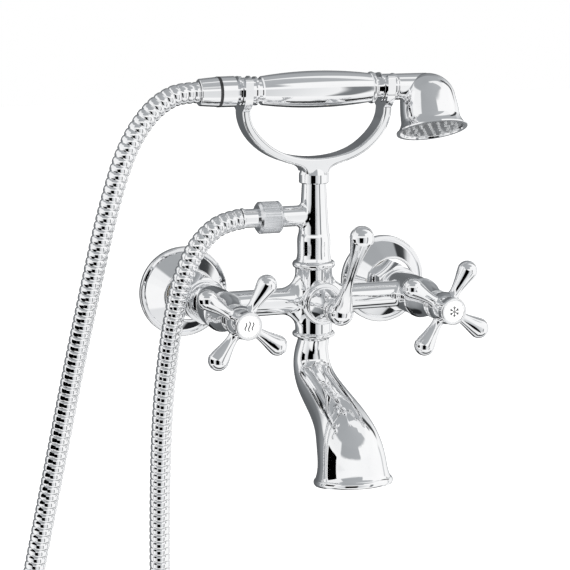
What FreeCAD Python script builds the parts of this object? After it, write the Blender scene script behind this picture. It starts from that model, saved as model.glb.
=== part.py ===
import FreeCAD, Part
import math
import os

# Wall mounted bath and shower mixer with a cradle, a hand shower and its hose.
# Frame: the wall is the plane y = 0 and the mixer stands out along -Y, +Z is up.
# The origin lies on the wall, midway between the two supply inlets.
# "out" is always the distance from the wall, which is -y.  All lengths are in mm.

# ---------------------------------------------------------------- overall sizes
INLET_SPACING = 150.0        # between the two supply pipes in the wall
UNION_OFFSET = 3.5           # each union leads this far in from its pipe to its valve
VALVE_SPACING = INLET_SPACING - 2 * UNION_OFFSET
BODY_REACH = 59.5            # wall to the axis of the bar
RISER_HEIGHT = 80.0          # bar axis to the joint between riser and cradle
HANDSET_HEIGHT = 143.0       # bar axis to the axis of the hand shower
SPOUT_REACH = 133.0          # wall to the middle of the spout mouth
SPOUT_DROP = 109.0           # bar axis down to the middle of the spout mouth

# ---------------------------------------------------------------- clearances
RUNNING_FIT = 0.08           # radial, between a turning spindle and its bore
LOOSE_FIT = 0.3              # between pieces that move past each other
THREAD_FIT = 0.05            # radial, between a screw thread and its hole
FACE_GAP = 0.4               # between the faces of a turning and a fixed piece

# ---------------------------------------------------------------- body casting
BAR_RADIUS = 9.0
BARREL_RADIUS = 12.6
BARREL_HALF_HEIGHT = 22.0
BARREL_FLARE = 11.5          # hollow fillet between the bar and the barrel
BARREL_EDGE = 1.5            # the fillet stops at least this far from the end of the barrel
BOSS_RADIUS = 13.2
BOSS_FLARE = 3.0             # hollow fillet between the bar and a valve boss
WATERWAY_RADIUS = 5.5
BOSS_REAR = BAR_RADIUS + 8.4           # behind the bar axis
BOSS_FRONT = BAR_RADIUS + 10.4         # in front of the bar axis
CARTRIDGE_THREAD_RADIUS = 10.4
CARTRIDGE_THREAD_LENGTH = 9.0
CHAMBER_RADIUS = 9.3
SEAT_DEPTH = 5.2             # the valve seat lies this far behind the bar axis
SEAT_RADIUS = 5.0

# ---------------------------------------------------------------- wall unions
WALL_THREAD_RADIUS = 10.4    # G 1/2
WALL_THREAD_LENGTH = 15.0
UNION_THREAD_RADIUS = 13.2   # G 3/4
UNION_BORE_RADIUS = 6.0
WASHER_THICKNESS = 3.0
TAIL_COLLAR_RADIUS = 12.3
TAIL_COLLAR_THICKNESS = 4.0
TAIL_NECK_RADIUS = 9.2
TAIL_NECK_LENGTH = 6.5
TAIL_THREAD_RADIUS = 8.0
TAIL_THREAD_LENGTH = 8.0
NUT_ACROSS_FLATS = 30.0
NUT_LIP = 4.5
NUT_SKIRT = 10.0             # threaded length behind the washer
ESCUTCHEON_RADIUS = 31.5
ESCUTCHEON_WALL = 1.4

# ---------------------------------------------------------------- valves
DISC_RADIUS = 6.8
DISC_THICKNESS = 2.5
SPINDLE_RADIUS = 4.0
SPINDLE_DRIVE = 5.6          # width of the square that carries the handle
SPINDLE_HEAD = 3.5
HEADWORK_WALL = 1.8
HEADWORK_NECK_RADIUS = 7.4
HEADWORK_LENGTH = 21.5       # in front of the boss
HEADWORK_FLATS = 20.0
SEAL_GROOVE = 2.4
BELL_RADIUS = 13.6
BELL_LENGTH = 27.0
BELL_WALL = 1.2

# ---------------------------------------------------------------- cross handles
HUB_LENGTH = 23.0
ARM_MIDDLE = 13.0            # rear of the hub to the plane of the arms
ARM_LENGTH = 35.5
ARM_BALL_RADIUS = 6.8
ARM_NECK_RADIUS = 3.5
CAP_RADIUS = 9.2
CAP_HEIGHT = 3.4
INDEX_RADIUS = 7.0
CAP_PLUG_RADIUS = 7.4
HOT_HANDLE_TURN = 35.0       # how far the hot cross is turned clockwise at rest
COLD_HANDLE_TURN = 32.0

# ---------------------------------------------------------------- diverter
DIVERTER_RING_RADIUS = 14.0
ROTOR_WALL = 2.6
ROTOR_REACH = 12.0           # the rotor starts this far behind the bar axis
BONNET_LENGTH = 20.0         # in front of the boss ring
LEVER_BALL_RADIUS = 8.8
LEVER_TOP_RADIUS = 8.0
LEVER_NECK_RADIUS = 2.9
LEVER_RISE = 54.8            # hub to the top ball, upwards
LEVER_LEAN = 36.0            # hub to the top ball, away from the wall

# ---------------------------------------------------------------- spout
SPOUT_NECK_RADIUS = 11.0
SPOUT_MOUTH_RADIUS = 26.0
SPOUT_MOUTH_LEAN = 7.6       # the mouth looks this far out from straight down
SPOUT_WALL = 2.4
SPOUT_LIP = 4.0
SPOUT_FLANGE_RADIUS = 14.6
SPOUT_FLANGE_HEIGHT = 4.6
SPIGOT_RADIUS = 8.6          # spout and riser spigots inside the barrel
SPIGOT_LENGTH = 9.0
SPIGOT_BORE = 6.0
STRAIGHTENER_RADIUS = 13.0
STRAIGHTENER_LEDGE = 3.0
STRAIGHTENER_STATION = -3    # section of the spout that carries the ledge

# ---------------------------------------------------------------- riser and outlet
RISER_FOOT_RADIUS = 11.4
RISER_TOP_RADIUS = 8.2
BEAD_RADIUS = 14.6
BEAD_HEIGHT = 5.0
OUTLET_HEIGHT = 58.0         # bar axis to the axis of the hose outlet
OUTLET_RADIUS = 7.0
OUTLET_THREAD_RADIUS = 8.2
OUTLET_REACH = 34.0          # riser axis to the end of the outlet
OUTLET_FLARE = 3.0
HOSE_NUT_RADIUS = 10.8
HOSE_NUT_LENGTH = 16.0
HOSE_NUT_LIP = 3.0
HOSE_RADIUS = 7.0
HOSE_WASHER = 2.0
TAIL_FLANGE = 1.6
FERRULE_END = 52.0           # riser axis to the mouth of the outlet ferrule

# ---------------------------------------------------------------- cradle
CRADLE_DEPTH = 17.0
CRADLE_THICKNESS = 5.6
CRADLE_COLLAR_RADIUS = 10.2
FORK_OFFSET = 50.4           # cradle axis to the middle of a fork
FORK_THICKNESS = 5.4
PRONG_THICKNESS = 5.4
PRONG_HEIGHT = 9.0           # top of the prongs above the handset axis

# ---------------------------------------------------------------- hand shower
SEAT_NECK_RADIUS = 9.0      # where the handset lies in the forks
GRIP_SETBACK = 11.9          # middle of a fork to the end of the grip
GRIP_HALF_LENGTH = FORK_OFFSET - GRIP_SETBACK
GRIP_RADIUS = 12.3
GRIP_END_RADIUS = 9.6
HANDSET_BORE = 4.5
HANDSET_TUBE_RADIUS = 6.0
COLLAR_RADIUS = 10.5
SWIVEL_NUT_RADIUS = 9.9
SLEEVE_REACH = 16.2          # middle of the left fork to the end of the tail sleeve
SPIGOT_REACH = 9.4           # end of the tail sleeve to the end of its hose thread
FERRULE_REACH = 6.0          # end of the hose thread to the mouth of the ferrule
HEAD_REACH = 31.1            # middle of the right fork to the spray axis
HEAD_OFFSET = FORK_OFFSET + HEAD_REACH
HEAD_TILT = 21.8             # spray axis, turned from straight down to the front
HEAD_NECK_RADIUS = 8.9
HEAD_BODY_RADIUS = 20.2
HEAD_RIM_RADIUS = 24.3
HEAD_DROP = 31.6             # handset axis to the rim
HEAD_CROWN = -8.2            # the crown rises this far behind the handset axis
HEAD_CROWN_RADIUS = 19.0
HEAD_WALL = 2.0
PLATE_MARGIN = 3.6           # rim of the head to the edge of the spray plate
PLATE_THICKNESS = 2.4
PLATE_RECESS = 1.2           # the plate lies this far inside the rim
NOZZLE_RADIUS = 0.9
NOZZLE_RINGS = ((0.0, 1), (6.0, 6), (11.5, 12), (17.0, 18))

UP = FreeCAD.Vector(0, 0, 1)
FRONT = FreeCAD.Vector(0, -1, 0)
RIGHT = FreeCAD.Vector(1, 0, 0)
LEFT = FreeCAD.Vector(-1, 0, 0)

# Route of the hose: x and z of its points, in the vertical plane of the bar.
# It runs from the outlet ferrule down, round its loop, and up to the hand shower.
HOSE_ROUTE = [
    (-52, 58), (-63.5, 58), (-75.5, 55), (-86.5, 48.5), (-95.5, 39), (-102, 26.5),
    (-107.5, 8), (-112, -20), (-115, -62), (-116, -115), (-114.5, -178),
    (-111, -245), (-106, -308), (-103, -362), (-104.5, -405), (-112, -433),
    (-129, -452), (-154, -461), (-181, -457), (-202, -440), (-213, -412),
    (-217, -372), (-217.5, -320), (-214, -260), (-207, -200), (-197.5, -141),
    (-186, -84), (-174.5, -30), (-163, 22), (-153.5, 60), (-144.5, 89),
    (-135.5, 110), (-126.5, 124.5), (-116.5, 134.5), (-105.5, 140.5),
    (-93.8, 143), (-82, 143),
]


# ================================================================ shape helpers
def spot(x, out, z):
    """A point given by its distance out from the wall."""
    return FreeCAD.Vector(x, -out, z)


class Arc:
    """A round stretch of an outline, through a middle point to an end point."""

    def __init__(self, middle, end):
        self.middle = middle
        self.end = end


class Curve:
    """A smooth stretch of an outline through every point given."""

    def __init__(self, *points):
        self.points = points
        self.end = points[-1]


def outline_wire(steps, place):
    """Closed wire from points, arcs and curves; place turns a pair into a point."""
    edges = []
    here = place(steps[0])
    for step in steps[1:] + [steps[0]]:
        if isinstance(step, Arc):
            end = place(step.end)
            edges.append(Part.Arc(here, place(step.middle), end).toShape())
        elif isinstance(step, Curve):
            end = place(step.end)
            spline = Part.BSplineCurve()
            spline.interpolate([here] + [place(pair) for pair in step.points])
            edges.append(spline.toShape())
        else:
            end = place(step)
            if here.distanceToPoint(end) > 1e-6:
                edges.append(Part.makeLine(here, end))
        here = end
    return Part.Wire(edges)


def dome(radius, level, rise):
    """Round cap of an outline, a part of a sphere, from its rim to the axis."""
    sphere = (radius ** 2 + rise ** 2) / (2 * rise)
    drop = sphere - math.sqrt(sphere ** 2 - radius ** 2 / 4)
    return Arc((radius / 2, level + rise - drop), (0, level + rise))


def upright(solid):
    """The same solid with its faces pointing outwards."""
    if solid.Volume < 0:
        solid.reverse()
    return solid


def placed(shape, base, direction):
    """Turn a shape built along +Z to a direction and move its origin to base."""
    turn = FreeCAD.Rotation(UP, direction)
    shape.Placement = FreeCAD.Placement(base, turn)
    return shape


def turned(steps, base, direction):
    """Solid of revolution from an outline of (radius, height along the axis)."""
    wire = outline_wire(steps, lambda pair: FreeCAD.Vector(pair[0], 0, pair[1]))
    solid = Part.Face(wire).revolve(FreeCAD.Vector(0, 0, 0), UP, 360)
    return placed(upright(solid), base, direction)


def rod(radius, length, base, direction):
    return Part.makeCylinder(radius, length, base, direction)


def ring(outer, inner, length, base, direction):
    return rod(outer, length, base, direction).cut(rod(inner, length, base, direction))


def prism(sides, across_flats, length, base, direction):
    """Regular prism, such as the flats of a nut."""
    corner = across_flats / 2 / math.cos(math.pi / sides)
    angles = [2 * math.pi * (i + 0.5) / sides for i in range(sides)]
    points = [FreeCAD.Vector(corner * math.cos(a), corner * math.sin(a), 0) for a in angles]
    face = Part.Face(Part.makePolygon(points + points[:1]))
    return placed(face.extrude(UP * length), base, direction)


def box(size_x, size_y, size_z, middle):
    """Box with its middle at a point."""
    corner = middle - FreeCAD.Vector(size_x / 2, size_y / 2, size_z / 2)
    return Part.makeBox(size_x, size_y, size_z, corner)


def fused(shapes):
    return shapes[0].multiFuse(shapes[1:]).removeSplitter()


def rounded(shape, radius, on_edge):
    """Round the edges on which every sampled point passes the test."""
    chosen = []
    for edge in shape.Edges:
        points = edge.discretize(Number=7)
        if all(on_edge(point) for point in points):
            chosen.append(edge)
    return shape.makeFillet(radius, chosen)


def off_axis(point, base, direction):
    """Distance of a point from an axis."""
    return (point - base).cross(direction).Length


def seal(radius_inside, radius_outside, base, direction):
    """Rubber ring of round section, held between two radii."""
    section = (radius_outside - radius_inside) / 2
    return Part.makeTorus(radius_inside + section, section, base, direction)


NODES = {}


def node(name, *solids):
    """Keep one named piece, or a few identical ones."""
    NODES[name] = solids[0] if len(solids) == 1 else Part.makeCompound(list(solids))


# ================================================================ shared places
SIDES = (("hot", -1), ("cold", 1))
CENTRE = spot(0, BODY_REACH, 0)
BOSS_FACE = BODY_REACH + BOSS_FRONT
SEAT_AT = BODY_REACH - SEAT_DEPTH
TAIL_FACE = BODY_REACH - BOSS_REAR
COLLAR_FACE = TAIL_FACE - TAIL_NECK_LENGTH - TAIL_COLLAR_THICKNESS
UNION_FACE = COLLAR_FACE - WASHER_THICKNESS
NUT_REAR = UNION_FACE - NUT_SKIRT + LOOSE_FIT
HUB_REAR = BOSS_FACE + BELL_LENGTH + FACE_GAP
HANDSET_AXIS = spot(0, BODY_REACH, HANDSET_HEIGHT)
OUTLET_AXIS = spot(0, BODY_REACH, OUTLET_HEIGHT)
FORK_LOW = HANDSET_HEIGHT - SEAT_NECK_RADIUS - 4.0


def valve_x(side):
    return side * VALVE_SPACING / 2


def wall_x(side):
    return side * INLET_SPACING / 2


# ================================================================ body casting
def valve_boss(side):
    edge = 1.6
    steps = [
        (0, -BOSS_REAR),
        (BOSS_RADIUS - edge, -BOSS_REAR),
        Arc((BOSS_RADIUS - edge * 0.3, -BOSS_REAR + edge * 0.3), (BOSS_RADIUS, -BOSS_REAR + edge)),
        (BOSS_RADIUS, BOSS_FRONT - edge),
        Arc((BOSS_RADIUS - edge * 0.3, BOSS_FRONT - edge * 0.3), (BOSS_RADIUS - edge, BOSS_FRONT)),
        (0, BOSS_FRONT),
    ]
    return turned(steps, spot(valve_x(side), BODY_REACH, 0), FRONT)


def diverter_boss():
    """Boss that flares forward into the ring around the diverter bonnet."""
    ring_depth = 3.6
    neck = BARREL_RADIUS - 0.6
    rim = DIVERTER_RING_RADIUS
    front = BOSS_FRONT
    steps = [
        (0, 0),
        (neck, 0),
        (neck, front - ring_depth - 4.0),
        Curve((neck + 0.4, front - ring_depth - 2.0), (rim - 0.4, front - ring_depth)),
        Arc((rim + 0.5, front - ring_depth / 2), (rim - 0.4, front)),
        (0, front),
    ]
    return turned(steps, CENTRE, FRONT)


def mixer_body():
    bar = rod(BAR_RADIUS, VALVE_SPACING, spot(valve_x(-1), BODY_REACH, 0), RIGHT)
    barrel = rod(BARREL_RADIUS, 2 * BARREL_HALF_HEIGHT, spot(0, BODY_REACH, -BARREL_HALF_HEIGHT), UP)
    casting = bar.fuse(barrel)

    def where_bar_meets_barrel(point):
        on_bar = abs(off_axis(point, CENTRE, RIGHT) - BAR_RADIUS) < 0.01
        return on_bar and abs(off_axis(point, CENTRE, UP) - BARREL_RADIUS) < 0.01

    room = BARREL_HALF_HEIGHT - BAR_RADIUS - BARREL_EDGE
    casting = rounded(casting, min(BARREL_FLARE, room), where_bar_meets_barrel)
    for name, side in SIDES:
        middle = spot(valve_x(side), BODY_REACH, 0)
        casting = casting.fuse(valve_boss(side))

        def where_bar_meets_boss(point):
            on_bar = abs(off_axis(point, CENTRE, RIGHT) - BAR_RADIUS) < 0.01
            return on_bar and abs(off_axis(point, middle, FRONT) - BOSS_RADIUS) < 0.01

        casting = rounded(casting, BOSS_FLARE, where_bar_meets_boss)
    casting = casting.fuse(diverter_boss())
    return casting.cut(fused(body_passages()))


def body_passages():
    """Everything that is hollow in the body."""
    inner = BAR_RADIUS + 1.0
    thread = CARTRIDGE_THREAD_RADIUS + THREAD_FIT
    spigot = SPIGOT_RADIUS + THREAD_FIT
    depth = SPIGOT_LENGTH + FACE_GAP
    cuts = [
        rod(WATERWAY_RADIUS, VALVE_SPACING, spot(valve_x(-1), BODY_REACH, 0), RIGHT),
        rod(CHAMBER_RADIUS, inner + BOSS_FRONT, spot(0, BODY_REACH - inner, 0), FRONT),
        rod(thread, CARTRIDGE_THREAD_LENGTH, spot(0, BOSS_FACE - CARTRIDGE_THREAD_LENGTH, 0), FRONT),
        rod(SPIGOT_BORE, 2 * BARREL_HALF_HEIGHT, spot(0, BODY_REACH, -BARREL_HALF_HEIGHT), UP),
        rod(spigot, depth, spot(0, BODY_REACH, -BARREL_HALF_HEIGHT), UP),
        rod(spigot, depth, spot(0, BODY_REACH, BARREL_HALF_HEIGHT - depth), UP),
    ]
    for name, side in SIDES:
        x = valve_x(side)
        cuts += [
            rod(SEAT_RADIUS, BOSS_REAR, spot(x, TAIL_FACE, 0), FRONT),
            rod(TAIL_THREAD_RADIUS + THREAD_FIT, TAIL_THREAD_LENGTH, spot(x, TAIL_FACE, 0), FRONT),
            rod(CHAMBER_RADIUS, SEAT_DEPTH + BOSS_FRONT, spot(x, SEAT_AT, 0), FRONT),
            rod(thread, CARTRIDGE_THREAD_LENGTH, spot(x, BOSS_FACE - CARTRIDGE_THREAD_LENGTH, 0), FRONT),
        ]
    return cuts


# ================================================================ wall unions
def s_union(side):
    """Eccentric union: its two ends are offset, to meet the pipe spacing."""
    step_rear = 2.0
    step_length = 8.0
    wall = wall_x(side)
    body = valve_x(side)
    shank = rod(WALL_THREAD_RADIUS, WALL_THREAD_LENGTH + step_rear, spot(wall, -WALL_THREAD_LENGTH, 0), FRONT)
    step = [rod(UNION_THREAD_RADIUS, step_length, spot(x, step_rear, 0), FRONT) for x in (wall, body)]
    web = box(abs(wall - body), step_length, 2 * UNION_THREAD_RADIUS,
              spot((wall + body) / 2, step_rear + step_length / 2, 0))
    front = rod(UNION_THREAD_RADIUS, UNION_FACE - step_rear, spot(body, step_rear, 0), FRONT)
    middle = step_rear + step_length / 2
    bores = [
        rod(UNION_BORE_RADIUS, WALL_THREAD_LENGTH + middle, spot(wall, -WALL_THREAD_LENGTH, 0), FRONT),
        rod(UNION_BORE_RADIUS, UNION_FACE - step_rear, spot(body, step_rear, 0), FRONT),
    ]
    return fused([shank] + step + [web, front]).cut(fused(bores))


def escutcheon(side):
    """Conical rosette with a raised rim band; it covers the union at the wall."""
    depth = NUT_REAR - FACE_GAP
    hole = UNION_THREAD_RADIUS + abs(wall_x(side) - valve_x(side)) + LOOSE_FIT
    rim = ESCUTCHEON_RADIUS
    band = 3.8
    wall = ESCUTCHEON_WALL
    steps = [
        (rim, 0),
        (rim, band - 1.2),
        Arc((rim - 0.35, band - 0.35), (rim - 1.2, band)),
        (rim - 2.6, band),
        (rim - 3.0, band - 0.7),
        (hole + wall + 0.6, depth - 1.0),
        Arc((hole + wall, depth - 0.2), (hole, depth)),
        (hole, depth - wall - 1.0),
        (rim - 3.0 - wall, band - 0.7 - wall),
        (rim - wall, band - 0.7 - wall),
        (rim - wall, 0),
    ]
    return turned(steps, spot(wall_x(side), 0, 0), FRONT)


def union_nut(side):
    """Hexagonal nut that draws the body tail onto the union."""
    x = valve_x(side)
    lip_inside = TAIL_FACE - FACE_GAP - NUT_LIP
    length = TAIL_FACE - FACE_GAP - NUT_REAR
    corner = NUT_ACROSS_FLATS / 2 / math.cos(math.pi / 6)
    flats = prism(6, NUT_ACROSS_FLATS, length, spot(x, NUT_REAR, 0), FRONT)
    chamfer = 1.4
    envelope = turned([
        (0, 0), (corner - chamfer, 0), (corner + 0.2, chamfer), (corner + 0.2, length - 2.2),
        Arc((corner - 1.2, length - 0.6), (corner - 2.8, length)), (0, length),
    ], spot(x, NUT_REAR, 0), FRONT)
    thread = rod(UNION_THREAD_RADIUS + THREAD_FIT, lip_inside - NUT_REAR, spot(x, NUT_REAR, 0), FRONT)
    neck = rod(TAIL_NECK_RADIUS + THREAD_FIT, length, spot(x, NUT_REAR, 0), FRONT)
    return flats.common(envelope).cut(thread.fuse(neck))


def tail_piece(side):
    """Collared tail screwed into the back of the valve boss."""
    collar = TAIL_COLLAR_THICKNESS
    neck_end = collar + TAIL_NECK_LENGTH
    steps = [
        (UNION_BORE_RADIUS, 0),
        (TAIL_COLLAR_RADIUS, 0),
        (TAIL_COLLAR_RADIUS, collar),
        (TAIL_NECK_RADIUS, collar),
        (TAIL_NECK_RADIUS, neck_end),
        (TAIL_THREAD_RADIUS, neck_end),
        (TAIL_THREAD_RADIUS, neck_end + TAIL_THREAD_LENGTH),
        (UNION_BORE_RADIUS, neck_end + TAIL_THREAD_LENGTH),
    ]
    return turned(steps, spot(valve_x(side), COLLAR_FACE, 0), FRONT)


# ================================================================ valve insides
SEAL_THICKNESS = 2.7
DISC_FACE = SEAT_AT + SEAL_THICKNESS
DISC_SPLIT = DISC_FACE + DISC_THICKNESS
HEAD_REAR = DISC_SPLIT + THREAD_FIT + DISC_THICKNESS
HEAD_FRONT = HEAD_REAR + SPINDLE_HEAD
CAVITY_RADIUS = DISC_RADIUS + 0.2
HEADWORK_FRONT = BOSS_FACE + HEADWORK_LENGTH
SQUARE_REAR = HUB_REAR - 2.0
SPINDLE_FRONT = HUB_REAR + 11.0
GROOVE_RADIUS = SPINDLE_RADIUS + 1.7
GROOVE_AT = BOSS_FACE + 9.0
SCREW_RADIUS = 2.0


def headwork(side):
    """Screwed-in cartridge body; its windows pass the water to the bar."""
    x = valve_x(side)
    outer = CAVITY_RADIUS + HEADWORK_WALL
    flats_length = 4.4
    body = fused([
        rod(outer, BOSS_FACE - DISC_FACE, spot(x, DISC_FACE, 0), FRONT),
        rod(CARTRIDGE_THREAD_RADIUS, CARTRIDGE_THREAD_LENGTH, spot(x, BOSS_FACE - CARTRIDGE_THREAD_LENGTH, 0), FRONT),
        prism(6, HEADWORK_FLATS, flats_length, spot(x, BOSS_FACE, 0), FRONT),
        rod(HEADWORK_NECK_RADIUS, HEADWORK_LENGTH, spot(x, BOSS_FACE, 0), FRONT),
    ])
    cavity = HEAD_FRONT + LOOSE_FIT - DISC_FACE
    window = HEAD_FRONT - DISC_SPLIT
    return body.cut(fused([
        rod(CAVITY_RADIUS, cavity, spot(x, DISC_FACE, 0), FRONT),
        rod(SPINDLE_RADIUS + RUNNING_FIT, HEADWORK_FRONT - DISC_FACE, spot(x, DISC_FACE, 0), FRONT),
        rod(GROOVE_RADIUS, SEAL_GROOVE, spot(x, GROOVE_AT, 0), FRONT),
        box(3 * outer, window, WATERWAY_RADIUS, spot(x, DISC_SPLIT + window / 2, 0)),
    ]))


def fixed_disc(side):
    """Ceramic disc with two quarter ports, held still under the headwork."""
    x = valve_x(side)
    disc = rod(CAVITY_RADIUS - 0.05, DISC_THICKNESS, spot(x, DISC_FACE, 0), FRONT)
    port = 3.3
    ports = [rod(1.9, DISC_THICKNESS, spot(x, DISC_FACE, z), FRONT) for z in (-port, port)]
    return disc.cut(ports[0].fuse(ports[1]))


def turning_disc(side):
    """Ceramic disc cut away on two sides; it uncovers the ports as it turns."""
    x = valve_x(side)
    start = DISC_SPLIT + THREAD_FIT
    disc = rod(DISC_RADIUS, DISC_THICKNESS, spot(x, start, 0), FRONT)
    slot_middle = DISC_RADIUS
    slots = [
        box(2 * 3.6, DISC_THICKNESS, 3.2, spot(x + shift, start + DISC_THICKNESS / 2, 0))
        for shift in (-slot_middle, slot_middle)
    ]
    return disc.cut(slots[0]).cut(slots[1])


def spindle(side):
    """Spindle: disc driver, round shaft and a square that carries the handle."""
    x = valve_x(side)
    square = box(SPINDLE_DRIVE, SPINDLE_FRONT - SQUARE_REAR, SPINDLE_DRIVE,
                 spot(x, (SQUARE_REAR + SPINDLE_FRONT) / 2, 0))
    body = fused([
        rod(DISC_RADIUS, SPINDLE_HEAD, spot(x, HEAD_REAR, 0), FRONT),
        rod(SPINDLE_RADIUS, SQUARE_REAR - HEAD_REAR, spot(x, HEAD_REAR, 0), FRONT),
        square,
    ])
    return body.cut(rod(SCREW_RADIUS + THREAD_FIT, 9.0, spot(x, SPINDLE_FRONT - 9.0, 0), FRONT))


def bell_cover(side):
    """Bell that hides the headwork; it narrows towards the handle."""
    neck = HEADWORK_NECK_RADIUS + THREAD_FIT
    front = BELL_LENGTH
    wall = BELL_WALL
    outer = BELL_RADIUS
    steps = [
        (outer - wall, 0),
        (outer, 0),
        (outer, 1.6),
        Curve((outer - 0.6, 3.0), (11.6, 8.5), (9.9, 16.0), (8.9, front - 3.6)),
        Arc((9.7, front - 1.8), (8.9, front)),
        (neck, front),
        (neck, front - 6.5),
        Curve((8.3, front - 9.0), (9.2, 14.0), (outer - wall, 5.0)),
    ]
    return turned(steps, spot(valve_x(side), BOSS_FACE, 0), FRONT)


# ================================================================ cross handles
def arm(angle, x):
    """Drop-shaped arm that grows from a thin neck to a round tip."""
    ball_at = ARM_LENGTH - ARM_BALL_RADIUS
    steps = [
        (0, 0),
        (ARM_NECK_RADIUS + 1.0, 0),
        (ARM_NECK_RADIUS + 1.0, 8.6),
        Curve((ARM_NECK_RADIUS + 0.1, 11.6), (ARM_NECK_RADIUS + 0.3, 15.0),
              (ARM_BALL_RADIUS - 1.5, 22.0), (ARM_BALL_RADIUS, ball_at)),
        Arc((ARM_BALL_RADIUS * math.sqrt(0.5), ball_at + ARM_BALL_RADIUS * math.sqrt(0.5)), (0, ARM_LENGTH)),
    ]
    direction = FreeCAD.Vector(math.sin(angle), 0, math.cos(angle))
    return turned(steps, spot(x, HUB_REAR + ARM_MIDDLE, 0), direction)


def cross_handle(side, turn):
    """Hub with four arms; it is pushed over the spindle square."""
    x = valve_x(side)
    hub = turned([
        (0, 0),
        (8.6, 0),
        Arc((9.4, 1.0), (8.9, 2.4)),
        Curve((9.4, 5.0), (10.6, ARM_MIDDLE - 2.0), (10.4, ARM_MIDDLE + 3.0), (9.2, HUB_LENGTH - 2.0)),
        (9.2, HUB_LENGTH),
        (0, HUB_LENGTH),
    ], spot(x, HUB_REAR, 0), FRONT)
    arms = [arm(math.radians(turn + 90 * i), x) for i in range(4)]
    socket = SPINDLE_DRIVE + 2 * THREAD_FIT
    pocket = CAP_PLUG_RADIUS + THREAD_FIT
    seat = HUB_REAR + 15.0
    return fused([hub] + arms).cut(fused([
        box(socket, 12.0, socket, spot(x, HUB_REAR + 6.0, 0)),
        rod(SCREW_RADIUS + 0.2, HUB_LENGTH, spot(x, HUB_REAR, 0), FRONT),
        rod(5.0, HUB_LENGTH - 15.0, spot(x, seat, 0), FRONT),
        rod(pocket, 4.0, spot(x, HUB_REAR + HUB_LENGTH - 4.0, 0), FRONT),
    ]))


def handle_screw(side):
    """Cap screw that holds the handle on the spindle."""
    x = valve_x(side)
    seat = HUB_REAR + 15.0
    shank = rod(SCREW_RADIUS, 11.0, spot(x, seat - 11.0, 0), FRONT)
    head = rod(3.8, 2.4, spot(x, seat, 0), FRONT)
    return shank.fuse(head).cut(prism(6, 2.5, 1.4, spot(x, seat + 1.0, 0), FRONT))


def index_cap(side):
    """Chrome ring with a plug, pushed into the front of the hub."""
    front = HUB_REAR + HUB_LENGTH
    plug = 3.6
    recess = CAP_HEIGHT - 1.4
    steps = [
        (0, -plug),
        (CAP_PLUG_RADIUS, -plug),
        (CAP_PLUG_RADIUS, 0),
        (CAP_RADIUS, 0),
        (CAP_RADIUS, CAP_HEIGHT - 1.2),
        Arc((CAP_RADIUS - 0.4, CAP_HEIGHT - 0.3), (CAP_RADIUS - 1.2, CAP_HEIGHT)),
        (INDEX_RADIUS + 0.25, CAP_HEIGHT),
        (INDEX_RADIUS + THREAD_FIT, CAP_HEIGHT - 0.3),
        (INDEX_RADIUS + THREAD_FIT, recess),
        (0, recess),
    ]
    return turned(steps, spot(valve_x(side), front, 0), FRONT)


def index_disc(side):
    """Slightly domed disc that carries the hot or cold sign."""
    base = HUB_REAR + HUB_LENGTH + CAP_HEIGHT - 1.4
    steps = [(0, 0), (INDEX_RADIUS, 0), (INDEX_RADIUS, 1.0), dome(INDEX_RADIUS, 1.0, 0.6)]
    return turned(steps, spot(valve_x(side), base, 0), FRONT)


# ================================================================ diverter
ROTOR_REAR = BODY_REACH - BAR_RADIUS + 0.6
ROTOR_FRONT = BOSS_FACE - CARTRIDGE_THREAD_LENGTH - LOOSE_FIT
BONNET_FRONT = BOSS_FACE + BONNET_LENGTH
LEVER_REAR = BONNET_FRONT + FACE_GAP
LEVER_MIDDLE = LEVER_REAR + 3.0 + LEVER_BALL_RADIUS * 0.8


def diverter_rotor():
    """Half-moon plug: its shutter closes the riser or the spout, half a turn apart."""
    outer = CHAMBER_RADIUS - RUNNING_FIT
    length = ROTOR_FRONT - ROTOR_REAR
    shell = ring(outer, outer - ROTOR_WALL, length, spot(0, ROTOR_REAR, 0), FRONT)
    lower = box(3 * outer, length, 2 * outer, spot(0, ROTOR_REAR + length / 2, -outer + outer * 0.62))
    shutter = shell.cut(lower)
    web = rod(outer, 2.4, spot(0, ROTOR_FRONT - 2.4, 0), FRONT)
    shaft = rod(SPINDLE_RADIUS, LEVER_REAR - ROTOR_FRONT, spot(0, ROTOR_FRONT, 0), FRONT)
    square = box(SPINDLE_DRIVE, 9.0, SPINDLE_DRIVE, spot(0, LEVER_REAR + 4.5, 0))
    return fused([shutter, web, shaft, square])


def diverter_bonnet():
    """Screwed-in cover that carries the diverter spindle."""
    thread = CARTRIDGE_THREAD_RADIUS
    rim = DIVERTER_RING_RADIUS - 2.0
    front = CARTRIDGE_THREAD_LENGTH + BONNET_LENGTH
    flange = CARTRIDGE_THREAD_LENGTH
    bore = SPINDLE_RADIUS + RUNNING_FIT
    groove = GROOVE_RADIUS
    groove_at = flange + 4.0
    steps = [
        (bore, 0),
        (thread, 0),
        (thread, flange),
        (rim, flange),
        (rim, flange + 1.0),
        Arc((rim - 0.4, flange + 1.7), (rim - 1.2, flange + 2.0)),
        Curve((9.2, flange + 6.0), (7.6, flange + 12.0), (7.0, front - 2.6)),
        Arc((7.9, front - 1.3), (7.0, front)),
        (bore, front),
        (bore, groove_at + SEAL_GROOVE),
        (groove, groove_at + SEAL_GROOVE),
        (groove, groove_at),
        (bore, groove_at),
    ]
    return turned(steps, spot(0, BOSS_FACE - flange, 0), FRONT)


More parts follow.
